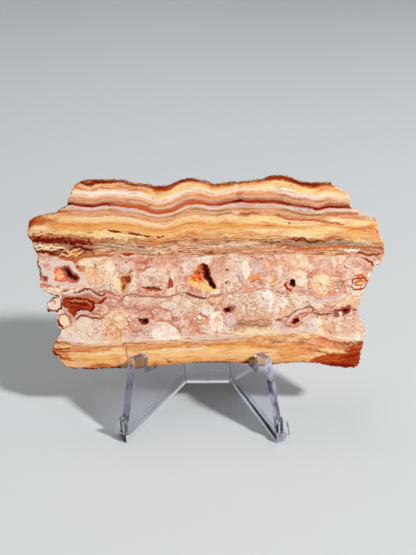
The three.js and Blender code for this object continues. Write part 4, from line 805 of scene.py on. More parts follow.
# Ground: soft areas of tone in the lace. Colour, strength, softness of the edge, ring of points.
ground = [
    ("dove", 0.8, 0.8, [-65,45, -59,46.6, -54,46.4, -50,45.4, -47,42, -45.4,38.6, -47,36, -53,35.6,
        -59,36, -63,37.6, -65,40]),
    ("cream", 0.85, 1, [-48,46, -40,46.6, -34,46, -33,40, -34,36, -40,34.6, -46,36]),
    ("honey", 0.35, 1.2, [-46,43, -41,43.4, -41,39, -46,39]),
    ("dove", 0.7, 0.8, [-47.6,36, -42,37.4, -37,36.6, -34.6,34.4, -38,33.2, -43,34.8]),
    ("cream", 0.85, 0.6, [-64.8,35.4, -58,36, -50,36, -44,36.2, -49,33.6, -56,32.6, -61,32.4]),
    ("cream", 0.8, 0.6, [-34.4,38.6, -31.6,39.4, -31,36, -31,32.6, -34,33]),
    ("ivory", 0.7, 0.8, [-26.8,40, -24.6,40.6, -24.8,33, -28,33, -27.2,36.6]),
    ("salmon", 0.8, 1.2, [-27,47.2, -17,47, -10,45.6, -9.6,42, -14,42.4, -19,43.6, -25,41]),
    ("ivory", 0.75, 0.9, [-24,40.6, -19,43.4, -13,42.2, -9.6,38.4, -10,34, -17,35.4, -24.4,35.6]),
    ("lilac", 0.6, 1.2, [-21,39.6, -17,40.6, -14.8,38.4, -17,36.6, -20.6,37]),
    ("rose", 0.45, 1.2, [-10,47, 0,46.8, -2.6,42, -6,38, -10,40]),
    ("rose", 0.7, 0.9, [-37.4,33.6, -31,33.2, -30,30, -33,27, -38,27.4, -40,29.4]),
    ("bone", 0.9, 0.7, [-30.6,30.4, -26,31.6, -18,30.6, -8,31.2, 0,30, 3.4,28.8, 2,26, -3,22.6,
        -8,24, -12,27, -17,28.2, -26,28]),
    ("dove", 0.8, 0.8, [-30,30, -26.6,31, -24.6,29.4, -27.6,28.2]),
    ("rose", 0.5, 0.8, [-31.6,27.8, -26,27.8, -18,27.6, -12,26.2, -9,22, -13,21.6, -19,22,
        -24,22.8, -30,25.6]),
    ("cream", 0.7, 1, [-38,24.4, -31,24.6, -27,22.6, -28,18.6, -38,18]),
    ("dove", 0.85, 0.7, [-57.6,13.6, -51,20, -48.6,22.8, -45.6,22.6, -43,14, -50,12.4]),
    ("ivory", 0.9, 0.7, [-46.6,22.6, -43,22.6, -39.8,19.6, -39,14, -44,12.4, -48,13.4]),
    ("cream", 0.85, 0.6, [-39.6,18.8, -35.6,20, -32.6,18, -32.2,13.2, -36,12.2, -39.4,12.6]),
    ("peach", 0.6, 1, [-37,16.4, -34,17, -33,14, -36,13.2]),
    ("dove", 0.7, 0.9, [-31.6,18, -25,18.4, -20,19.6, -19.6,15, -25,13.6, -31,14]),
    ("apricot", 0.5, 0.9, [-31,21, -27,20.6, -26.6,17, -29,16.4, -31,18]),
    ("chalk", 0.8, 0.6, [-19.8,14.2, -18.6,19.8, -15.8,21, -12,19.6, -8,15.4, -10,13.6, -15,13.2]),
    ("rose", 0.5, 1.2, [-10,24, -3,22, 3,18, 6,16.2, 0,15.4, -7,15.6]),
    ("ivory", 0.6, 1.2, [8,46.6, 16,46.8, 16.4,38, 14,33.4, 8,33.2, 6.6,38]),
    ("rose", 0.2, 1.2, [4.6,46.6, 9,46.6, 9.6,42, 7,37, 5,40]),
    ("cream", 0.85, 0.5, [17,45, 18.8,45.4, 20.2,42, 20.4,38, 19,36.4, 17.4,38.6]),
    ("dove", 0.8, 0.7, [20.6,45.6, 25,45.2, 26.8,42, 25,39.6, 21.4,40.4]),
    ("peach", 0.5, 1.2, [26.6,46.4, 36,46, 43,45.6, 43,41, 36,39, 28,41]),
    ("ivory", 0.7, 1.4, [28,42, 34,41, 35,37.6, 43,38, 43,33, 34,32, 27,34]),
    ("rose", 0.25, 1.6, [42,45.6, 52,44.6, 60,45, 60,39, 52,38.6, 44,40]),
    ("ivory", 0.7, 1.4, [53,44.6, 62,45.2, 66,42.6, 64,38.6, 57,38]),
    ("cream", 0.9, 0.7, [44.2,34.4, 44.8,37.8, 48,39.4, 50.8,37.4, 51.2,33.4, 49.4,30.8, 46,31]),
    ("dove", 0.8, 0.7, [42.6,32, 46,30.2, 52,30.4, 57,31.6, 57.8,36, 59,36, 58.8,30.6, 52,28.4,
        45,28.6, 42,30.4]),
    ("cream", 0.8, 0.9, [49,29, 56,28.8, 60,31.6, 65,33.4, 64,29, 60,26.8, 52,26.8]),
    ("bone", 0.8, 1, [35,31.4, 43,31, 47,27, 42,26, 36,25.2, 34,28]),
    ("bone", 0.95, 0.5, [14.4,31.6, 20,32, 26,31.4, 30.6,25.4, 28,22.6, 20,22.4, 15,22.6]),
    ("chalk", 0.85, 0.8, [23.6,32.8, 28.4,33.2, 33.4,30.6, 34.8,27, 31.6,24.8, 27.6,24, 25.6,27,
        26.4,30.4]),
    ("olive", 0.6, 0.7, [13.6,20.6, 20,21.2, 28,20.8, 29,18.4, 21,17.8, 14,18.6]),
    ("cream", 0.85, 0.8, [13,17.6, 21,17.6, 31,18, 32,15.6, 24,15, 14,14.6]),
    ("lilac", 0.7, 0.9, [9,22.8, 13,23.4, 14.6,20, 13,16.6, 9.6,18]),
    ("chalk", 0.85, 0.6, [3.8,23, 6.8,24.2, 9,22.6, 9.4,19, 7.6,16.4, 4.6,17, 3.4,20]),
    ("dove", 0.75, 1, [29,19, 34,20, 34,17.8, 41,17.6, 42,22.4, 46,23, 48,18, 42,15.6, 32,15.4]),
    # Painted highlight: white along the right-hand edge of the face, where the rim catches the key
    # lamp.
    ("chalk", 0.8, 0.6, [66.6,40, 67.6,38, 65.4,33.8, 63.6,30, 62.2,30.6, 64,34, 65.6,38]),
    ("chalk", 0.85, 0.5, [62.6,22.6, 64.4,21, 66,17, 66,13, 64,12.4, 64.4,16, 63,19.4]),
    ("cream", 0.6, 1, [46,22, 52,22, 58,21, 56,17, 48,16]),
    ("ivory", 0.7, 1.2, [56,22, 62,22, 65,18, 65,13.4, 58,13.4, 53,15])]

# The darkest places: open cracks, pinholes and the deep ends of the hollows, partly the stone's
# own dark red and partly painted shade in them. Rings, then cracks with their half width.
dark_and_shaded_patches = [
    [-53.5,42.9, -52.5,42.7, -51.8,41.2, -50.7,39.8, -49.9,38.7, -50.7,38.1, -52.2,38.9, -53.3,40,
        -53.8,41.2],
    [2.2,43.2, 3.1,42.4, 3.6,40.6, 4.4,38.6, 5.7,36.2, 6.5,34.8, 6.1,33.9, 5.2,34, 4.1,35.4,
        2.4,37.4, 1.5,39.2, 1.8,40.8, 1.7,42.4],
    [-25.4,22.2, -23.6,21.6, -21.4,21.9, -21.3,20.6, -22.4,19.5, -23.6,19.7, -24.8,20.9],
    [9.6,24.2, 9.6,25.8, 10.6,26.2, 11.6,26, 11.7,24.7, 10.7,24.1],
    [35.6,35.9, 36.5,37.3, 37.6,36.6, 37.8,34.8, 36.6,34.6, 35.7,34.9],
    [36,19.7, 37.6,21.8, 38.7,21.4, 38.6,19.9],
    [55.4,24.5, 56.8,25, 58.4,25.2, 58.6,24.5, 57.4,23.6, 56.4,23.8]]
dark_and_shaded_lines = [
    (0.30, [-35.6,57.7, -33,57.4, -30.5,56.8]),
    (0.22, [-27.6,56.3, -24.6,56.1, -22.2,55.7]),
    (0.22, [-21.6,55.6, -19,55]),
    (0.18, [-16.6,54.7, -15.4,54.6]),
    (0.18, [-14.4,54.6, -13.6,54.6]),
    # Painted shade along the underside of the shelf where the left rim steps in.
    (0.45, [-64.6,34.2, -62,32.8, -59.6,31.8, -57,31.4]),
    (0.35, [-59.4,24.1, -58,23.7]),
    (0.35, [-57.7,20.4, -57.2,19.2]),
    (0.35, [-62.2,26.4, -61.4,25.2]),
    (0.30, [-65.5,47.4, -65.6,45.4, -65.1,43.2]),
    (0.30, [-33.5,44.2, -33.3,44]),
    (0.22, [-29.2,45, -28.8,44.9]),
    (0.30, [24.5,45.7, 24.7,45.5]),
    (0.20, [10.6,41.1, 11.2,41.3]),
    (0.22, [10.2,36.1, 11.2,36.3]),
    (0.26, [24.9,29.4, 25.1,29.2]),
    (0.26, [-7.2,42.4, -7,42.1]),
    (0.18, [35.4,59.2, 36,58.8]),
    (0.16, [31.8,30.4, 32,30.2]),
    (0.20, [69.2,41.9, 70.2,42.2])]


def walked(points, step):
    """Places at about this spacing along a line of corners, its last corner left out."""
    corners = np.array(points, float).reshape(-1, 2)
    out = []
    for (x0, y0), (x1, y1) in zip(corners[:-1], corners[1:]):
        pieces = max(1, round(math.hypot(x1 - x0, y1 - y0) / step))
        out += [(x0 + (x1 - x0) * k / pieces, y0 + (y1 - y0) * k / pieces)
                for k in range(pieces)]
    return np.array(out)


def rounded(points, step, closed):
    """Places at about this spacing along a smooth curve through the points."""
    p = np.array(points, float).reshape(-1, 2)
    n = len(p)
    out = []
    for i in range(n if closed else n - 1):
        if closed:
            a, b, c, d = (p[(i + k) % n] for k in (-1, 0, 1, 2))
        else:
            a, b, c, d = p[max(i - 1, 0)], p[i], p[i + 1], p[min(i + 2, n - 1)]
        pieces = max(1, round(float(np.hypot(*(c - b))) / step))
        t = (np.arange(pieces) / pieces)[:, None]
        out.append(0.5 * (2 * b + (c - a) * t + (2 * a - 5 * b + 4 * c - d) * t ** 2
                          + (3 * b - a - 3 * c + d) * t ** 3))
    return np.concatenate(out + ([] if closed else [p[-1:]]))


def clouds(where, across, up, seed):
    """Smooth noise at each place; across and up say how fast it changes that way."""
    return np.array([noise.noise(Vector((x * across, y * up, seed))) for x, y in where])


def in_stone(points, closed, step=0.4):
    """A line or ring as it lies in the stone: rounded, and moved a little by noise that is the
    same for every shape that passes one place."""
    smooth = rounded(points, step, closed)
    return smooth + SHAKE * np.column_stack([clouds(smooth, 0.8, 0.8, 40.0),
                                             clouds(smooth, 0.8, 0.8, 60.0)])


def distance_to_line(where, line, wide=0.0):
    """Distance from each place to a line. With a half width, the line is a brush stroke that
    narrows to a point at both ends, and places inside it are below 0."""
    best = np.full(len(where), 1e9)
    lengths = np.hypot(*np.diff(line, axis=0).T)
    whole = lengths.sum()
    taper = min(6.0 * wide, 0.35 * whole)
    before = 0.0
    for a, b, length in zip(line[:-1], line[1:], lengths):
        along = b - a
        t = np.clip((where - a) @ along / max(float(along @ along), 1e-12), 0, 1)
        away = np.hypot(*(where - a - t[:, None] * along).T)
        if wide:
            run = before + t * length
            away -= wide * np.minimum(1.0, 0.15 + 0.85 * np.minimum(run, whole - run) / taper)
        before += length
        best = np.minimum(best, away)
    return best


def inside_ring(where, ring):
    """True where a place is inside a closed ring of points."""
    x, y = where.T
    inside = np.zeros(len(where), bool)
    for (x0, y0), (x1, y1) in zip(ring, np.roll(ring, -1, axis=0)):
        if y0 != y1:
            inside ^= ((y0 > y) != (y1 > y)) & (x < (x1 - x0) * (y - y0) / (y1 - y0) + x0)
    return inside


def closed_line(ring):
    """A ring as a line that ends where it starts."""
    return np.concatenate([ring, ring[:1]])


def close_by(where, shape, reach):
    """True for the places in a box round a shape, with this much to spare."""
    return np.all((where > shape.min(axis=0) - reach) & (where < shape.max(axis=0) + reach), axis=1)


def outside_line(where, line, wide, reach=3.0):
    """Distance outside a brush stroke, below 0 inside it, FAR beyond the reach."""
    near = close_by(where, line, reach)
    out = np.full(len(where), FAR)
    out[near] = distance_to_line(where[near], line, wide)
    return out


def outside_ring(where, ring, reach=3.0):
    """Distance outside a ring, below 0 inside it, FAR beyond the reach."""
    near = close_by(where, ring, reach)
    out = np.full(len(where), FAR)
    d = distance_to_line(where[near], closed_line(ring))
    out[near] = np.where(inside_ring(where[near], ring), -d, d)
    return out


# The outline, walked in short steps, with each step's setback and the way out of the stone.
outline, side_setback = [], []
for k, (stands_back, corners) in enumerate(sides):
    run = walked(corners + sides[(k + 1) % len(sides)][1][:2], RIM_SPACING)
    outline.append(run)
    side_setback += [stands_back] * len(run)
outline = np.concatenate(outline)
side_setback = np.array(side_setback)
ahead = np.roll(outline, -2, axis=0) - np.roll(outline, 2, axis=0)
outward = np.stack([-ahead[:, 1], ahead[:, 0]], 1) / np.hypot(*ahead.T)[:, None]


def rim_ring(depth, share, chip):
    """The outline at one depth through the slab: set back by a share and chipped by noise."""
    coarse = clouds(outline, 0.33, 0.33, depth * 0.30)
    fine = clouds(outline, 1.1, 1.1, depth * 0.9 + 7.0)
    sharp = clouds(outline, 2.1, 2.1, depth * 0.5 + 21.0)
    notch = clouds(outline, 0.6, 0.6, depth * 0.15 + 50.0)
    move = share * side_setback - chip * (0.35 * abs(coarse) + 0.45 * abs(fine) +
                                          0.55 * abs(sharp) + 0.8 * abs(notch))
    return outline + outward * move[:, None]


# Depth, share of the setback and depth of the chips, from the front face to the back.
rim_depths = [(0.0, -0.70, 0.85), (0.18, -0.45, 0.85), (0.5, -0.25, 0.9), (1.0, -0.10, 1.0),
              (1.7, 0.10, 1.0), (2.5, 0.15, 1.0), (3.3, 0.20, 1.0), (4.1, 0.20, 1.0),
              (4.9, 0.15, 0.9), (5.5, -0.05, 0.8), (5.85, -0.3, 0.7), (THICKNESS, -0.6, 0.6)]
rings = [rim_ring(*spec) for spec in rim_depths]

mouths = [(deep, in_stone(ring, True)) for deep, ring in hollow_mouths]
patch_rings = [in_stone(ring, True) for _, _, ring in patches]
seam_lines = [in_stone(line, False) for _, _, _, line in seams]
dark_and_shaded_rings = [in_stone(ring, True) for ring in dark_and_shaded_patches]
crack_and_shade_lines = [in_stone(line, False, 0.3) for _, line in dark_and_shaded_lines]


def flanked(line, reach):
    """A line of places, and one on each side of it."""
    ahead = np.gradient(line, axis=0)
    aside = np.stack([-ahead[:, 1], ahead[:, 0]], 1) / np.hypot(*ahead.T)[:, None] * reach
    return [line, line + aside, line - aside]


def face_points(edge, step, details):
    """Places for the corners of a face's triangles: an even field, closer along the details."""
    low, high = edge.min(axis=0), edge.max(axis=0)
    field = []
    for k, y in enumerate(np.arange(low[1], high[1], step * ROW_RISE)):
        x = np.arange(low[0] + (k % 2) * step / 2, high[0], step)
        field.append(np.column_stack([x, np.full(len(x), y)]))
    wanted = np.concatenate(details + field)
    wanted = wanted[inside_ring(wanted, edge)]
    wanted = wanted[distance_to_line(wanted, closed_line(edge)) > EDGE_ROOM]
    taken, kept = {}, []
    for x, y in wanted:
        i, j = int(x // CLOSEST), int(y // CLOSEST)
        if all((x - q[0]) ** 2 + (y - q[1]) ** 2 > CLOSEST ** 2 * 0.8
               for di in (-1, 0, 1) for dj in (-1, 0, 1)
               for q in taken.get((i + di, j + dj), ())):
            taken.setdefault((i, j), []).append((x, y))
            kept.append((x, y))
    return np.array(kept)


def triangulate(edge, inner):
    """Triangles that fill the edge, with every inner place as a corner."""
    corners = [Vector(p) for p in np.concatenate([edge, inner])]
    got = delaunay_2d_cdt(corners, [], [list(range(len(edge)))], 1, 1e-5)
    return np.array([tuple(v) for v in got[0]]), np.array(got[2])


details = [ring for _, ring in mouths] + dark_and_shaded_rings + patch_rings
for line, (_, _, wide, _) in zip(seam_lines, seams):
    details += flanked(line, wide + 0.1)
for line, (wide, _) in zip(crack_and_shade_lines, dark_and_shaded_lines):
    details += flanked(line, wide)
front_xy, front_faces = triangulate(rings[0], face_points(rings[0], FRONT_SPACING, details))
back_xy, back_faces = triangulate(rings[-1], face_points(rings[-1], BACK_SPACING, []))

# How far each place on the polished face is sunk into the stone.
sunk = np.zeros(len(front_xy))
for deep, ring in mouths:
    into = -outside_ring(front_xy, ring)
    inside = into > 0
    wall = np.clip(into[inside] / WALL_RUN, 0, 1)
    sunk[inside] = deep * wall ** 0.7 * (0.8 + 0.35 * clouds(front_xy[inside], 0.9, 0.9, 3.0))
for line, (wide, _) in zip(crack_and_shade_lines, dark_and_shaded_lines):
    into = np.clip(1 - distance_to_line(front_xy, line) / wide, 0, 1)
    sunk = np.maximum(sunk, CRACK_DEPTH * into)

# One closed skin: front face, rings of the rim, back face.
count = len(outline)
rim_xy = np.concatenate(rings)
rim_depth = np.repeat([spec[0] for spec in rim_depths], count)
place = np.concatenate([
    np.column_stack([front_xy, sunk]),
    np.column_stack([rim_xy, rim_depth]),
    np.column_stack([back_xy, np.full(len(back_xy), THICKNESS)])])
start_rim, start_back = len(front_xy), len(front_xy) + len(rim_xy)
faces = [tuple(int(i) for i in f) for f in front_faces]
for r in range(len(rings) - 1):
    for i in range(count):
        a, b = start_rim + r * count + i, start_rim + r * count + (i + 1) % count
        faces.append((a, b, b + count, a + count))
faces += [tuple(start_back + int(i) for i in reversed(f)) for f in back_faces]

# Where the seat holds the slab's lower front edge, from the stand's middle and back.
FEET_TO_BACK = 45.1                 # wings' feet, on their centre lines, to the back of the rail
WING_BACK, WING_IN = 0.9051, 0.4253  # a step along a wing goes this far back and this far in
NOTCH_ALONG, NOTCH_HEIGHT = 17.8, 21.5  # the seat's front corner, along the wing and up
FACE_GAP = 1.2                      # from that corner back to the polished face
stand_low, stand_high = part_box("acrylic_stand")
MIDDLE_X = (stand_low[0] + stand_high[0]) / 2 * 1000
FEET_Y = stand_high[1] * 1000 - FEET_TO_BACK
SEAT_Y = FEET_Y + NOTCH_ALONG * WING_BACK + FACE_GAP * math.cos(LEAN)
SEAT_Z = NOTCH_HEIGHT - FACE_GAP * math.sin(LEAN)
x, y, depth = place.T
stood_up = np.column_stack([
    MIDDLE_X + x,
    SEAT_Y + depth * math.cos(LEAN) + y * math.sin(LEAN),
    SEAT_Z - depth * math.sin(LEAN) + y * math.cos(LEAN)]) / 1000

scene = bpy.context.scene
slab_mesh = bpy.data.meshes.new("agate slab")
slab_mesh.from_pydata(stood_up.tolist(), [], faces)
slab_mesh.update()
slab = bpy.data.objects.new("polished_slab", slab_mesh)
scene.collection.objects.link(slab)

# The level of the growth layer at every corner.
xy = place[:, :2]
levels = [level for level, _ in growth_lines]
heights = [np.interp(xy[:, 0], *rounded(points, 0.8, False).T) for _, points in growth_lines]
band = np.zeros(len(xy))
for upper, lower, high, low in zip(levels[:-1], levels[1:], heights[:-1], heights[1:]):
    inside = (xy[:, 1] <= high) & (xy[:, 1] > low)
    band[inside] = (lower + (upper - lower) * ((xy[:, 1] - low) / (high - low)))[inside]
above, below = xy[:, 1] > heights[0], xy[:, 1] <= heights[-1]
band[above] = (levels[0] + xy[:, 1] - heights[0])[above]
band[below] = (levels[-1] + xy[:, 1] - heights[-1])[below]


def srgb(r, g, b):
    """A colour given as it looks on a screen, 0 to 255, as linear light with alpha."""
    return tuple(c / 12.92 if c <= 0.04045 else ((c + 0.055) / 1.055) ** 2.4
                 for c in (r / 255, g / 255, b / 255)) + (1.0,)


def step_down(value, low, high):
    """1 below low, 0 above high, smooth in between."""
    t = np.clip((high - value) / (high - low), 0, 1)
    return t * t * (3 - 2 * t)


# The paint that lies over the layers, as light already weighed by how much of it there is.
# Strokes are drawn on a place's own level, which noise sways, most of all in the crumbly crust.
stone_light = {name: np.array(srgb(*colour)[:3]) for name, colour in stone_colours.items()}
paint = np.zeros((len(xy), 4))
sway = np.column_stack([clouds(xy, 0.5, 1.0, 5.0), clouds(xy, 1.0, 1.6, 9.0),
                        clouds(xy, 2.2, 2.6, 2.0)])
wavy = clouds(xy, 0.75, 0.35, 17.0) * (
    step_down(band, 56.5, 58.5) * (1 - step_down(band, 46, 48)) +
    0.4 * step_down(band, 13, 16) * (1 - step_down(band, 9, 10)))
drawn = np.column_stack([
    xy[:, 0] + 0.6 * sway[:, 1],
    band + 0.22 * sway[:, 0] + 0.20 * sway[:, 1] + 0.16 * sway[:, 2] + 1.1 * wavy])
streak = clouds(np.column_stack([xy[:, 0], band]), 0.22, 2.2, 31.0)


def lay(mask, name, strength):
    """Lays one colour over the paint where the mask is 1."""
    share = np.clip(mask, 0, 1)[:, None] * strength
    paint[:, :3] = paint[:, :3] * (1 - share) + stone_light[name] * share
    paint[:, 3:] = paint[:, 3:] * (1 - share) + share


for name, strength, soft, ring in ground:
    d = outside_ring(xy, rounded(ring, 0.8, True), 2 * soft)
    lay(step_down(d + 0.7 * soft * sway[:, 1], -soft, soft), name, strength)
for name, strength, wide, line in brushes:
    d = outside_line(drawn, rounded(line, 0.5, False), wide, wide * 1.6 + 0.8)
    soft = 0.10 + 0.20 * wide
    lay(step_down(d + min(0.08 + 0.8 * wide, 0.9) * streak, -soft, soft + 0.08), name, strength)

# The colour and strength of the shape that each place is in or next to, so that the material can
# let the shape's edge wander, and the distance outside that edge.
patch_colour = np.tile([*stone_light["peach"], 0.0], (len(xy), 1))
patch_edge = np.full(len(xy), FAR)
for (name, strength, _), ring in zip(patches, patch_rings):
    d = outside_ring(xy, ring)
    take = (d < 0.2) | (d < np.minimum(patch_edge, NEXT_TO))
    patch_colour[take] = [*stone_light[name], strength]
    patch_edge = np.minimum(patch_edge, d)

seam_colour = np.tile([*stone_light["mauve"], 0.0], (len(xy), 1))
seam_edge = np.full(len(xy), FAR)
for (name, strength, wide, _), line in zip(seams, seam_lines):
    d = outside_line(xy, line, wide + 0.05)
    take = (d < 0.05) | (d < np.minimum(seam_edge, NEXT_TO))
    seam_colour[take] = [*stone_light[name], strength]
    seam_edge[take] = d[take]

dark_and_shade_edge = np.full(len(xy), FAR)
for ring in dark_and_shaded_rings:
    dark_and_shade_edge = np.minimum(dark_and_shade_edge, outside_ring(xy, ring))
for (wide, _), line in zip(dark_and_shaded_lines, crack_and_shade_lines):
    dark_and_shade_edge = np.minimum(dark_and_shade_edge, outside_line(xy, line, wide))

on_rim = np.zeros(len(xy))
on_rim[start_rim + count:start_back - count] = 1.0

# What the material reads at every corner of the mesh.
for name, kind, field, values in (
        ("place", "FLOAT_VECTOR", "vector", place),
        ("band", "FLOAT", "value", band),
        ("paint", "FLOAT_COLOR", "color", paint),
        ("patch colour", "FLOAT_COLOR", "color", patch_colour),
        ("patch edge", "FLOAT", "value", patch_edge),
        ("seam colour", "FLOAT_COLOR", "color", seam_colour),
        ("seam edge", "FLOAT", "value", seam_edge),
        ("lace edge", "FLOAT", "value", np.minimum(np.abs(patch_edge), np.abs(seam_edge))),
        ("dark and shade edge", "FLOAT", "value", dark_and_shade_edge),
        ("from rim", "FLOAT", "value", distance_to_line(xy, closed_line(outline))),
        ("on rim", "FLOAT", "value", on_rim),
        ("sunk", "FLOAT", "value", np.append(sunk, np.zeros(len(place) - len(sunk))))):
    layer = slab_mesh.attributes.new(name, kind, "POINT")
    layer.data.foreach_set(field, np.ascontiguousarray(values, dtype=np.float32).ravel())

joined = bmesh.new()
joined.from_mesh(slab_mesh)
bmesh.ops.remove_doubles(joined, verts=joined.verts, dist=2e-6)
bmesh.ops.recalc_face_normals(joined, faces=joined.faces)
joined.to_mesh(slab_mesh)
joined.free()
slab_mesh.shade_smooth()
slab_mesh.set_sharp_from_angle(angle=math.radians(32))


class Signal:
    """A value inside a material; + - * / with another value or number add Math nodes."""

    def __init__(self, tree, socket):
        self.tree, self.socket = tree, socket

    def make(self, kind, settings=None, inputs=None, out=0):
        node = self.tree.nodes.new(kind)
        for name, value in (settings or {}).items():
            setattr(node, name, value)
        for name, value in (inputs or {}).items():
            socket = node.inputs[name]
            if isinstance(value, Signal):
                self.tree.links.new(value.socket, socket)
            else:
                socket.default_value = value
        return Signal(self.tree, node.outputs[out])

    def maths(self, operation, first, second):
        return self.make("ShaderNodeMath", {"operation": operation}, {0: first, 1: second})

    def __add__(self, other): return self.maths("ADD", self, other)
    def __radd__(self, other): return self.maths("ADD", other, self)
    def __sub__(self, other): return self.maths("SUBTRACT", self, other)
    def __rsub__(self, other): return self.maths("SUBTRACT", other, self)
    def __mul__(self, other): return self.maths("MULTIPLY", self, other)
    def __rmul__(self, other): return self.maths("MULTIPLY", other, self)
    def __truediv__(self, other): return self.maths("DIVIDE", self, other)
    def __rtruediv__(self, other): return self.maths("DIVIDE", other, self)

    def read(self, name, out="Fac"):
        """An attribute of the mesh."""
        return self.make("ShaderNodeAttribute", {"attribute_name": name}, {}, out)

    def between(self, low, high):
        """0 at low, 1 at high, smooth in between; low may be the larger."""
        return self.make("ShaderNodeMapRange", {"interpolation_type": "SMOOTHSTEP"},
                         {"Value": self, "From Min": low, "From Max": high})

    def waves(self, half):
        """Up from 0 to half and down again, over and over."""
        return self.maths("PINGPONG", self, half)

    def capped(self):
        return self.maths("MINIMUM", self, 1.0)

    def blend(self, first, second, how="MIX"):
        """first where this is 0, second laid over it where it is 1, as colours. Of the sockets
        of a Mix node that share a name, 6 and 7 take the colours and 2 gives one."""
        return self.make("ShaderNodeMix", {"data_type": "RGBA", "blend_type": how},
                         {0: self, 6: first, 7: second}, 2)

    def stretched(self, x, y, z):
        return self.make("ShaderNodeVectorMath", {"operation": "MULTIPLY"},
                         {0: self, 1: (x, y, z)})

    def moved(self, other):
        return self.make("ShaderNodeVectorMath", {"operation": "ADD"}, {0: self, 1: other})

    def cloud(self, scale, detail=2.0, rough=0.5, out="Fac"):
        """Noise from 0 to 1, read at this place."""
        return self.make("ShaderNodeTexNoise", {}, {
            "Vector": self, "Scale": scale, "Detail": detail, "Roughness": rough}, out)


def new_material(name):
    material = bpy.data.materials.new(name)
    material.use_nodes = True
    tree = material.node_tree
    return material, Signal(tree, None), tree.nodes["Principled BSDF"]


def ramp(value, stops):
    """Colours along a value: its level, red, green and blue at each stop."""
    stops = np.array(stops, float).reshape(-1, 4).tolist()
    low, high = stops[0][0], stops[-1][0]
    colours = value.make("ShaderNodeValToRGB", {}, {"Fac": (value - low) / (high - low)})
    strip = colours.socket.node.color_ramp
    while len(strip.elements) < len(stops):
        strip.elements.new(0.5)
    for element, (level, *_) in zip(strip.elements, stops):
        element.position = (level - low) / (high - low)
    for element, (_, *colour) in zip(strip.elements, stops):
        element.color = srgb(*colour)
    return colours


def washed(stone, washes):
    """The stone with one colour after another laid over it: mask, how it mixes, colour."""
    for mask, how, colour in washes:
        stone = mask.blend(stone, srgb(*colour), how)
    return stone


agate, base, surface = new_material("banded agate")
here = base.read("place", "Vector")
across = base.make("ShaderNodeSeparateXYZ", {}, {"Vector": here}, "X")
depth = base.make("ShaderNodeSeparateXYZ", {}, {"Vector": here}, "Z")
patch_edge, patch_alpha = base.read("patch edge"), base.read("patch colour", "Alpha")
seam_edge, seam_alpha = base.read("seam edge"), base.read("seam colour", "Alpha")
dark_and_shade_edge, from_rim = base.read("dark and shade edge"), base.read("from rim")
on_rim, sunk = base.read("on rim"), base.read("sunk")

# Growth layers: the level wanders a little, and fine laminae run along it.
wander = here.stretched(0.35, 0.9, 0.35).cloud(0.55, 4.0, 0.6) - 0.5
ragged = here.stretched(0.7, 1.2, 0.7).cloud(1.5, 3.0, 0.65) - 0.5
level = base.read("band") + wander * 0.7 + ragged * 0.55


def along(reach, scale, detail, seed):
    """Noise drawn out along the layers: reach is how long the streaks are."""
    place = base.make("ShaderNodeCombineXYZ", {}, {
        "X": across / reach, "Y": level + seed, "Z": depth * 0.3})
    return place.cloud(scale, detail, 0.7)


laminae = along(14.0, 1.9, 5.0, 0.0)
hair = along(18.0, 2.3, 2.0, 31.0)
blush = along(9.0, 0.7, 4.0, 63.0)

upper = ramp(level, [62,247,204,153, 62.8,245,206,157, 63.4,236,181,134, 64,226,162,116,
    64.6,228,170,126, 65.1,228,172,126, 65.5,208,150,108, 65.9,210,162,124, 66.3,228,182,148,
    66.9,230,190,166, 67.3,222,164,132, 67.6,178,86,48, 67.9,162,56,20, 68.2,158,54,14,
    68.5,178,88,50, 68.9,196,124,94, 69.4,208,148,114, 69.9,224,170,132, 70.4,228,172,130,
    70.9,220,160,116, 71.4,234,174,130, 71.9,242,192,150, 72.6,247,208,176, 73.2,251,224,192,
    73.8,251,216,174, 74.3,250,206,152, 74.9,246,184,118, 75.4,246,186,124, 75.9,236,164,108,
    76.3,212,126,78, 76.8,174,84,42, 77.6,138,50,24])
lower = ramp(level, [46,232,172,136, 46.8,222,154,116, 47.6,216,150,110, 48.2,208,148,108,
    48.8,212,152,110, 49.5,210,150,110, 50.2,218,166,130, 50.8,214,168,132, 51.4,212,164,126,
    52,208,152,114, 52.6,206,148,104, 53.2,206,140,90, 53.8,216,150,90, 54.4,222,164,108,
    55,228,172,114, 55.6,232,178,120, 56.2,238,180,116, 57,241,190,128, 57.8,242,192,132,
    58.6,240,185,119, 59.2,237,173,109, 59.8,231,165,98, 60.2,227,159,94, 60.7,236,179,121,
    61.4,243,196,142, 62,247,204,153])
foot = ramp(level, [0,120,54,22, 1.8,150,82,42, 2.4,196,124,74, 3,194,126,76, 3.6,218,158,99,
    4.4,231,174,111, 5.4,238,186,126, 6.4,242,194,133, 7.6,247,204,147, 8.6,247,203,142,
    9.4,240,184,121, 10,233,161,91, 10.6,231,161,98, 11.2,231,165,110, 11.8,231,170,123,
    12.6,233,176,129, 13.2,237,191,148, 13.8,241,208,172, 14.4,248,216,184, 15.2,245,212,180,
    16.4,248,216,187, 18,245,212,182])

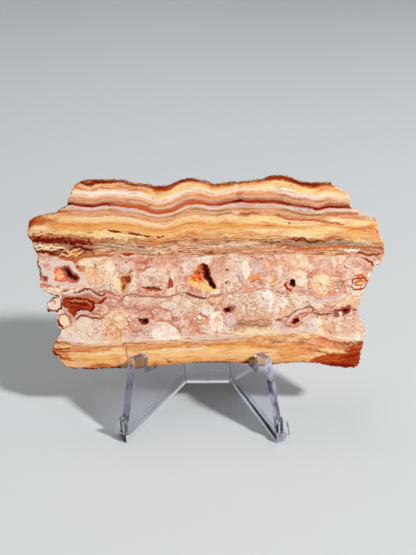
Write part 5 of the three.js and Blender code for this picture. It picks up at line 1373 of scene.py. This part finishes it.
# Lace between the layers: nodules of cream, pink and white stone grown against each other, with
# an iron-stained line where they meet and mottled stone inside them.
swirl = here.cloud(0.2, 2.0, out="Color")
crinkle = here.cloud(0.8, 3.0, out="Color")
bent = here.stretched(0.8, 1.0, 1.0).moved(swirl.stretched(9, 9, 9)).moved(crinkle)
nodules = {"Vector": bent, "Scale": 0.17, "Randomness": 1.0}
meeting = base.make("ShaderNodeTexVoronoi", {"feature": "DISTANCE_TO_EDGE"}, nodules)
nodule = base.make("ShaderNodeSeparateColor", {}, {
    "Color": base.make("ShaderNodeTexVoronoi", {}, nodules, "Color")})
ripple = (here.stretched(0.45, 1.0, 0.45).cloud(0.30, 4.0, 0.55) * 9.0).waves(0.5)
tone = here.cloud(0.40, 5.0, 0.66)
mottle = here.cloud(0.95, 5.0, 0.72)
speck = here.cloud(2.0, 4.0, 0.72)
grit = here.cloud(3.4, 3.0, 0.7)
lace = washed(ramp(nodule, [0,236,216,200, 0.2,242,218,184, 0.4,238,200,164, 0.6,226,178,148,
    0.8,222,164,132, 1,238,212,188]), [
    (tone.between(0.50, 0.66), "MIX", (214, 146, 112)),
    (tone.between(0.47, 0.34), "MIX", (242, 218, 190))])

stone = level.between(61.8, 62.2).blend(lower, upper)
lace_top = (level + wander * 1.6).between(47.3, 46.5)
lace_foot = (level + wander * 1.6).between(16.2, 14.2)
stone = lace_foot.blend(lace_top.blend(stone, lace), foot)

# The paint, thinner and thicker from lamina to lamina.
in_lace = lace_top * (1.0 - lace_foot)
banded = 1.0 - in_lace * 0.75
hold = 1.0 - laminae.between(0.52, 0.68) * banded * 0.35
hold = hold * (1.0 - tone.between(0.50, 0.66) * in_lace * 0.35)
stone = (base.read("paint", "Alpha") * hold).blend(stone, srgb(0, 0, 0))
stone = hold.blend(stone, base.read("paint", "Color"), "ADD")

# Laminae lighten and darken every layer. Then the crust over the lace and the top of the foot:
# crumbs and threads of rust and pale stone.
crusty = level.between(45.6, 47.0) * level.between(57.5, 53.0)
crusty = crusty + level.between(9.4, 10.8) * level.between(15.5, 12.5) * 0.4
bright = crusty * across.between(-46.0, -34.0)
crumb = along(4.5, 1.1, 4.0, 85.0)
thread = along(16.0, 1.9, 4.0, 140.0)
stone = washed(stone, [
    (laminae.between(0.48, 0.32) * banded * 0.70, "MULTIPLY", (200, 120, 80)),
    (laminae.between(0.54, 0.70) * banded * 0.60, "SCREEN", (88, 82, 66)),
    (blush.between(0.56, 0.72) * banded * 0.35, "MULTIPLY", (226, 146, 98)),
    (hair.between(0.56, 0.62) * banded * 0.50, "MULTIPLY", (192, 116, 80)),
    (hair.between(0.43, 0.37) * banded * 0.50, "SCREEN", (104, 98, 80)),
    (crusty * across.between(-40.0, -52.0) * 0.5, "MULTIPLY", (190, 146, 124)),
    (crumb.between(0.54, 0.64) * crusty * 0.90, "MULTIPLY", (138, 62, 32)),
    (crumb.between(0.45, 0.37) * bright * 0.55, "MIX", (250, 222, 178)),
    (thread.between(0.55, 0.62) * crusty * 0.75, "MULTIPLY", (124, 58, 32)),
    (thread.between(0.44, 0.38) * bright * 0.65, "MIX", (252, 228, 190))])

# Rings that follow the patches and seams outwards and fade a few millimetres from them.
uneven = (here.cloud(0.9, 4.0, 0.65) - 0.5) * 1.5
fine_uneven = (speck - 0.5) * 1.1
echo = base.read("lace edge") + uneven * 0.9
shown = here.cloud(0.33, 3.0, 0.6).between(0.44, 0.58)
fade = echo.between(2.6, 0.6) * shown * in_lace
ringed = echo.waves(0.6)
stone = washed(stone, [
    (ringed.between(0.34, 0.56) * fade * 0.50, "MIX", (242, 224, 208)),
    (ringed.between(0.16, 0.03) * fade * 0.70, "MIX", (166, 84, 66))])

# Patches, with edges that wander with the stone.
wandering_edge = patch_edge + uneven * 0.8
patch_mask = wandering_edge.between(0.20, -0.20) * patch_alpha * (0.75 + mottle * 0.5)
stone = patch_mask.capped().blend(stone, base.read("patch colour", "Color"))

# Nodules show through the paint: their meeting lines, their own tone, their rings, the mottling.
# Then rings inside the strongly coloured patches.
soft_stone = in_lace * (1.0 - patch_mask.between(0.60, 0.85) * 0.92)
meeting_line = (meeting + fine_uneven * 0.03).between(0.075, 0.012)
meeting_line = meeting_line * here.cloud(0.25, 2.0, 0.5).between(0.40, 0.52) * soft_stone
high = level.between(34.0, 40.0)
rippled = soft_stone * here.cloud(0.16, 2.0, 0.5).between(0.38, 0.52) * (1.0 - high * 0.5)
pale = here.cloud(0.15, 4.0, 0.6).between(0.44, 0.58) * soft_stone * (0.35 + high * 0.65)
whitish = nodule.between(0.42, 0.22) * meeting.between(0.04, 0.18)
vivid = patch_edge.between(0.0, -0.2) * patch_alpha.between(0.6, 0.9)
stone = washed(stone, [
    (meeting.between(0.28, 0.04) * soft_stone * 0.36, "MULTIPLY", (226, 172, 152)),
    (whitish * soft_stone * 0.75, "SCREEN", (112, 108, 98)),
    (nodule.between(0.60, 0.90) * soft_stone * 0.30, "MULTIPLY", (230, 176, 150)),
    (ripple.between(0.20, 0.04) * rippled * 0.55, "MULTIPLY", (186, 122, 102)),
    (ripple.between(0.32, 0.46) * rippled * 0.48, "MIX", (246, 232, 214)),
    (meeting_line * 0.28, "MULTIPLY", (190, 112, 88)),
    (pale * 0.9, "SCREEN", (124, 120, 108)),
    (mottle.between(0.51, 0.62) * soft_stone * 0.28, "MULTIPLY", (212, 138, 104)),
    (mottle.between(0.49, 0.38) * soft_stone * 0.50, "SCREEN", (112, 104, 86)),
    (wandering_edge.waves(0.5).between(0.16, 0.02) * vivid * 0.45, "MULTIPLY", (172, 92, 62))])

# Seams lie over everything that grew before them.
seam_mask = (seam_edge + fine_uneven * 0.7).between(0.20, -0.14) * seam_alpha
seam_mask = seam_mask * (0.66 + along(2.4, 1.1, 4.0, 11.0) * 0.8)
stone = seam_mask.capped().blend(stone, base.read("seam colour", "Color"))

# Grain of the stone, fine paler and redder flecks, and the darkest places: dark red stone with
# painted shade in its cracks and hollows, near black painted shade where a hollow is deepest. Then
# the rim: a skin of iron-stained rock, darkest at the very edge of the faces, with a redder rind at
# the top, and a painted highlight along the right-hand edge of the faces.
edge_stain_and_highlight = (from_rim + (here.cloud(0.5, 4.0, 0.6) - 0.5) * 3.6).between(0.95, 0.15)
weathered = across.between(54.0, 46.0) * (1.0 - across.between(-62.0, -58.0) * 0.5 * in_lace)
stone = washed(stone, [
    (speck.between(0.54, 0.66) * 0.42, "MULTIPLY", (208, 136, 102)),
    (speck.between(0.46, 0.34) * 0.45, "SCREEN", (86, 78, 64)),
    (grit.between(0.58, 0.70) * 0.40, "MULTIPLY", (176, 98, 66)),
    # Dark red stone with painted shade in cracks and hollows, near black painted shade at the
    # deepest.
    ((dark_and_shade_edge + fine_uneven * 0.6).between(0.40, -0.05) * 0.92, "MIX", (156, 44, 12)),
    ((dark_and_shade_edge + fine_uneven * 0.4).between(0.0, -0.55), "MIX", (82, 15, 6)),
    (sunk.between(2.3, 2.8), "MIX", (16, 5, 4)),
    (edge_stain_and_highlight * weathered * level.between(2.0, 7.0) * 0.85, "MIX", (104, 36, 12))])
rind = (from_rim + (here.cloud(0.45, 4.0, 0.65) - 0.5) * 4.0).between(1.9, 0.9)
rind = rind * level.between(74.4, 76.2) * across.between(53.0, 48.0)
rind_colour = grit.between(0.42, 0.58).blend(srgb(160, 70, 28), srgb(98, 30, 12))
stone = (rind * 0.6).blend(stone, rind_colour)
# A painted highlight: the faces' right-hand edge, away from the stain, painted near white where the
# key lamp catches the rim.
stone = (edge_stain_and_highlight * (1.0 - weathered) * level.between(11.0, 14.0) * 0.8).blend(
    stone, srgb(252, 240, 218))
crust = here.cloud(0.8, 5.0, 0.65).between(0.38, 0.62)
stone = (on_rim * 0.55).blend(stone, crust.blend(srgb(208, 164, 126), srgb(122, 64, 40)))

# The lace is a touch lighter and stronger in colour than its parts, and the whole stone deeper.
stone = (in_lace * (1.0 - on_rim)).blend(stone, base.make("ShaderNodeHueSaturation", {}, {
    "Saturation": 1.01, "Value": 1.04, "Color": stone}))
stone = base.make("ShaderNodeMix", {"data_type": "RGBA", "blend_type": "SUBTRACT"}, {
    0: 1.0, 6: stone, 7: (0.012, 0.013, 0.009, 0.0)}, 2)
base.tree.links.new(stone.socket, surface.inputs["Base Color"])

# Polished faces, a rough rim, and hollows left as they grew.
rough = 0.16 + on_rim * 0.62 + sunk.between(0.02, 0.4) * 0.35
base.tree.links.new(rough.socket, surface.inputs["Roughness"])
relief = on_rim * here.cloud(1.6, 5.0, 0.65) + sunk.between(0.02, 0.3) * mottle * 0.35
bump = base.make("ShaderNodeBump", {}, {
    "Strength": 0.6, "Distance": 0.0006, "Height": relief})
base.tree.links.new(bump.socket, surface.inputs["Normal"])
surface.inputs["Specular IOR Level"].default_value = 0.25
surface.inputs["IOR"].default_value = 1.54

slab_mesh.materials.append(agate)
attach(slab, "root")
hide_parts("agate_slab")

# The stand
# One injection moulding in clear acrylic: two splayed wings with a prong and a seat each, joined
# by a back panel, on a thicker rail. Its edges are slightly rounded by the mould and polished.

EDGE_ROUNDING = 0.00025             # m
ACRYLIC_IOR = 1.49
stand_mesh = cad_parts["acrylic_stand"].data.copy()
stand_mesh.name = "acrylic stand"
stand = bpy.data.objects.new("clear_stand", stand_mesh)
scene.collection.objects.link(stand)
shape = bmesh.new()
shape.from_mesh(stand_mesh)
bmesh.ops.remove_doubles(shape, verts=shape.verts, dist=1e-6)
bmesh.ops.dissolve_limit(shape, angle_limit=math.radians(1.0), verts=shape.verts,
                         edges=shape.edges)
bmesh.ops.triangulate(shape, faces=[face for face in shape.faces if len(face.verts) > 4],
                      ngon_method="EAR_CLIP")
shape.to_mesh(stand_mesh)
shape.free()

# The broad sides of the walls are clear, and their narrow edges, other than underneath, keep a
# little of the mould's satin.
broad_sides = ((WING_BACK, WING_IN), (WING_BACK, -WING_IN), (0.0, 1.0))
narrow = [float(face.normal.z > -0.5 and
                all(abs(x * face.normal.x + y * face.normal.y) < 0.93 for x, y in broad_sides))
          for face in stand_mesh.polygons]
layer = stand_mesh.attributes.new("moulded edge", "FLOAT", "FACE")
layer.data.foreach_set("value", narrow)
soften = stand.modifiers.new("moulded edges", "BEVEL")
soften.width = EDGE_ROUNDING
soften.segments = 2
soften.limit_method = "ANGLE"
soften.angle_limit = math.radians(30)

acrylic, base, surface = new_material("clear acrylic")
surface.inputs["Base Color"].default_value = srgb(244, 246, 252)
surface.inputs["Transmission Weight"].default_value = 1.0
surface.inputs["IOR"].default_value = ACRYLIC_IOR
surface.inputs["Roughness"].default_value = 0.03
satin = base.make("ShaderNodeBsdfPrincipled", {}, {
    "Base Color": srgb(196, 192, 216), "Roughness": 0.35, "IOR": ACRYLIC_IOR})
own_place = base.make("ShaderNodeTexCoord", {}, {}, "Object")
worn = own_place.stretched(1, 1, 0.35).cloud(140.0, 3.0, 0.6).between(0.36, 0.58)
skin = base.make("ShaderNodeMixShader", {}, {
    0: base.read("moulded edge") * worn * 0.55,
    1: Signal(base.tree, surface.outputs["BSDF"]), 2: satin})
tint = base.make("ShaderNodeVolumeAbsorption", {}, {
    "Color": srgb(206, 202, 240), "Density": 10.0})
result = acrylic.node_tree.nodes["Material Output"]
base.tree.links.new(skin.socket, result.inputs["Surface"])
base.tree.links.new(tint.socket, result.inputs["Volume"])
stand_mesh.materials.clear()
stand_mesh.materials.append(acrylic)
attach(stand, "root")
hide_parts("acrylic_stand")

# The studio
# A pale floor that runs far back, a hair below the stand so that they share no surface, a soft
# key lamp from the right, two weaker lamps and a grey room.

FLOOR_REACH, AIR_FILM = 9.0, 0.0001  # m
floor_mesh = bpy.data.meshes.new("floor")
floor_mesh.from_pydata([(x * FLOOR_REACH, y * FLOOR_REACH, -AIR_FILM)
                        for x, y in ((-1, -1), (1, -1), (1, 1), (-1, 1))], [], [(0, 1, 2, 3)])
floor = bpy.data.objects.new("floor", floor_mesh)
scene.collection.objects.link(floor)
floor_paint, base, surface = new_material("floor")
surface.inputs["Base Color"].default_value = srgb(190, 193, 194)
surface.inputs["Roughness"].default_value = 0.6
floor_mesh.materials.append(floor_paint)

world = bpy.data.worlds.new("room")
world.use_nodes = True
room = world.node_tree.nodes["Background"]
room.inputs["Color"].default_value = srgb(190, 196, 200)
room.inputs["Strength"].default_value = 0.32
scene.world = world


def lamp(name, where, towards, size, watts):
    light = bpy.data.lights.new(name, "AREA")
    light.shape = "SQUARE"
    light.size = size
    light.energy = watts
    holder = bpy.data.objects.new(name, light)
    scene.collection.objects.link(holder)
    holder.location = where
    holder.rotation_euler = (Vector(towards) - Vector(where)).to_track_quat("-Z", "Y").to_euler()


lamp("key", (1.30, -0.76, 1.30), (0.0, 0.0, 0.04), size=0.18, watts=49.0)
lamp("overhead", (-0.1, 0.35, 1.5), (0.0, 0.0, 0.05), size=1.0, watts=6.0)
lamp("back fill", (-1.2, 1.8, 1.2), (0.0, 0.0, 0.05), size=3.0, watts=14.0)

# The camera
# It stands close, above the slab and a little to its right, and is rolled by three degrees, as a
# camera held in the hand is.

SENSOR = 36.0                       # mm along the frame's longer side
FRAME_HEIGHT, FOCAL_LENGTH = 555.0, 840.0  # in pixels of the frame
target = Vector((MIDDLE_X / 1000 + 0.00597, FEET_Y / 1000, 0.07185))
turn, rise, roll = math.radians(5.0), math.radians(26.0), math.radians(-3.0)
distance = 0.300
back = Vector((math.sin(turn) * math.cos(rise), -math.cos(turn) * math.cos(rise), math.sin(rise)))
lens = bpy.data.cameras.new("camera")
lens.sensor_width = SENSOR
lens.lens = SENSOR * FOCAL_LENGTH / FRAME_HEIGHT
lens.clip_start = 0.01
camera = bpy.data.objects.new("camera", lens)
scene.collection.objects.link(camera)
camera.location = target + back * distance
facing = (-back).to_track_quat("-Z", "Y")
camera.rotation_euler = (facing.to_matrix() @ Matrix.Rotation(roll, 3, "Z")).to_euler()
scene.camera = camera
scene.view_settings.view_transform = "Standard"
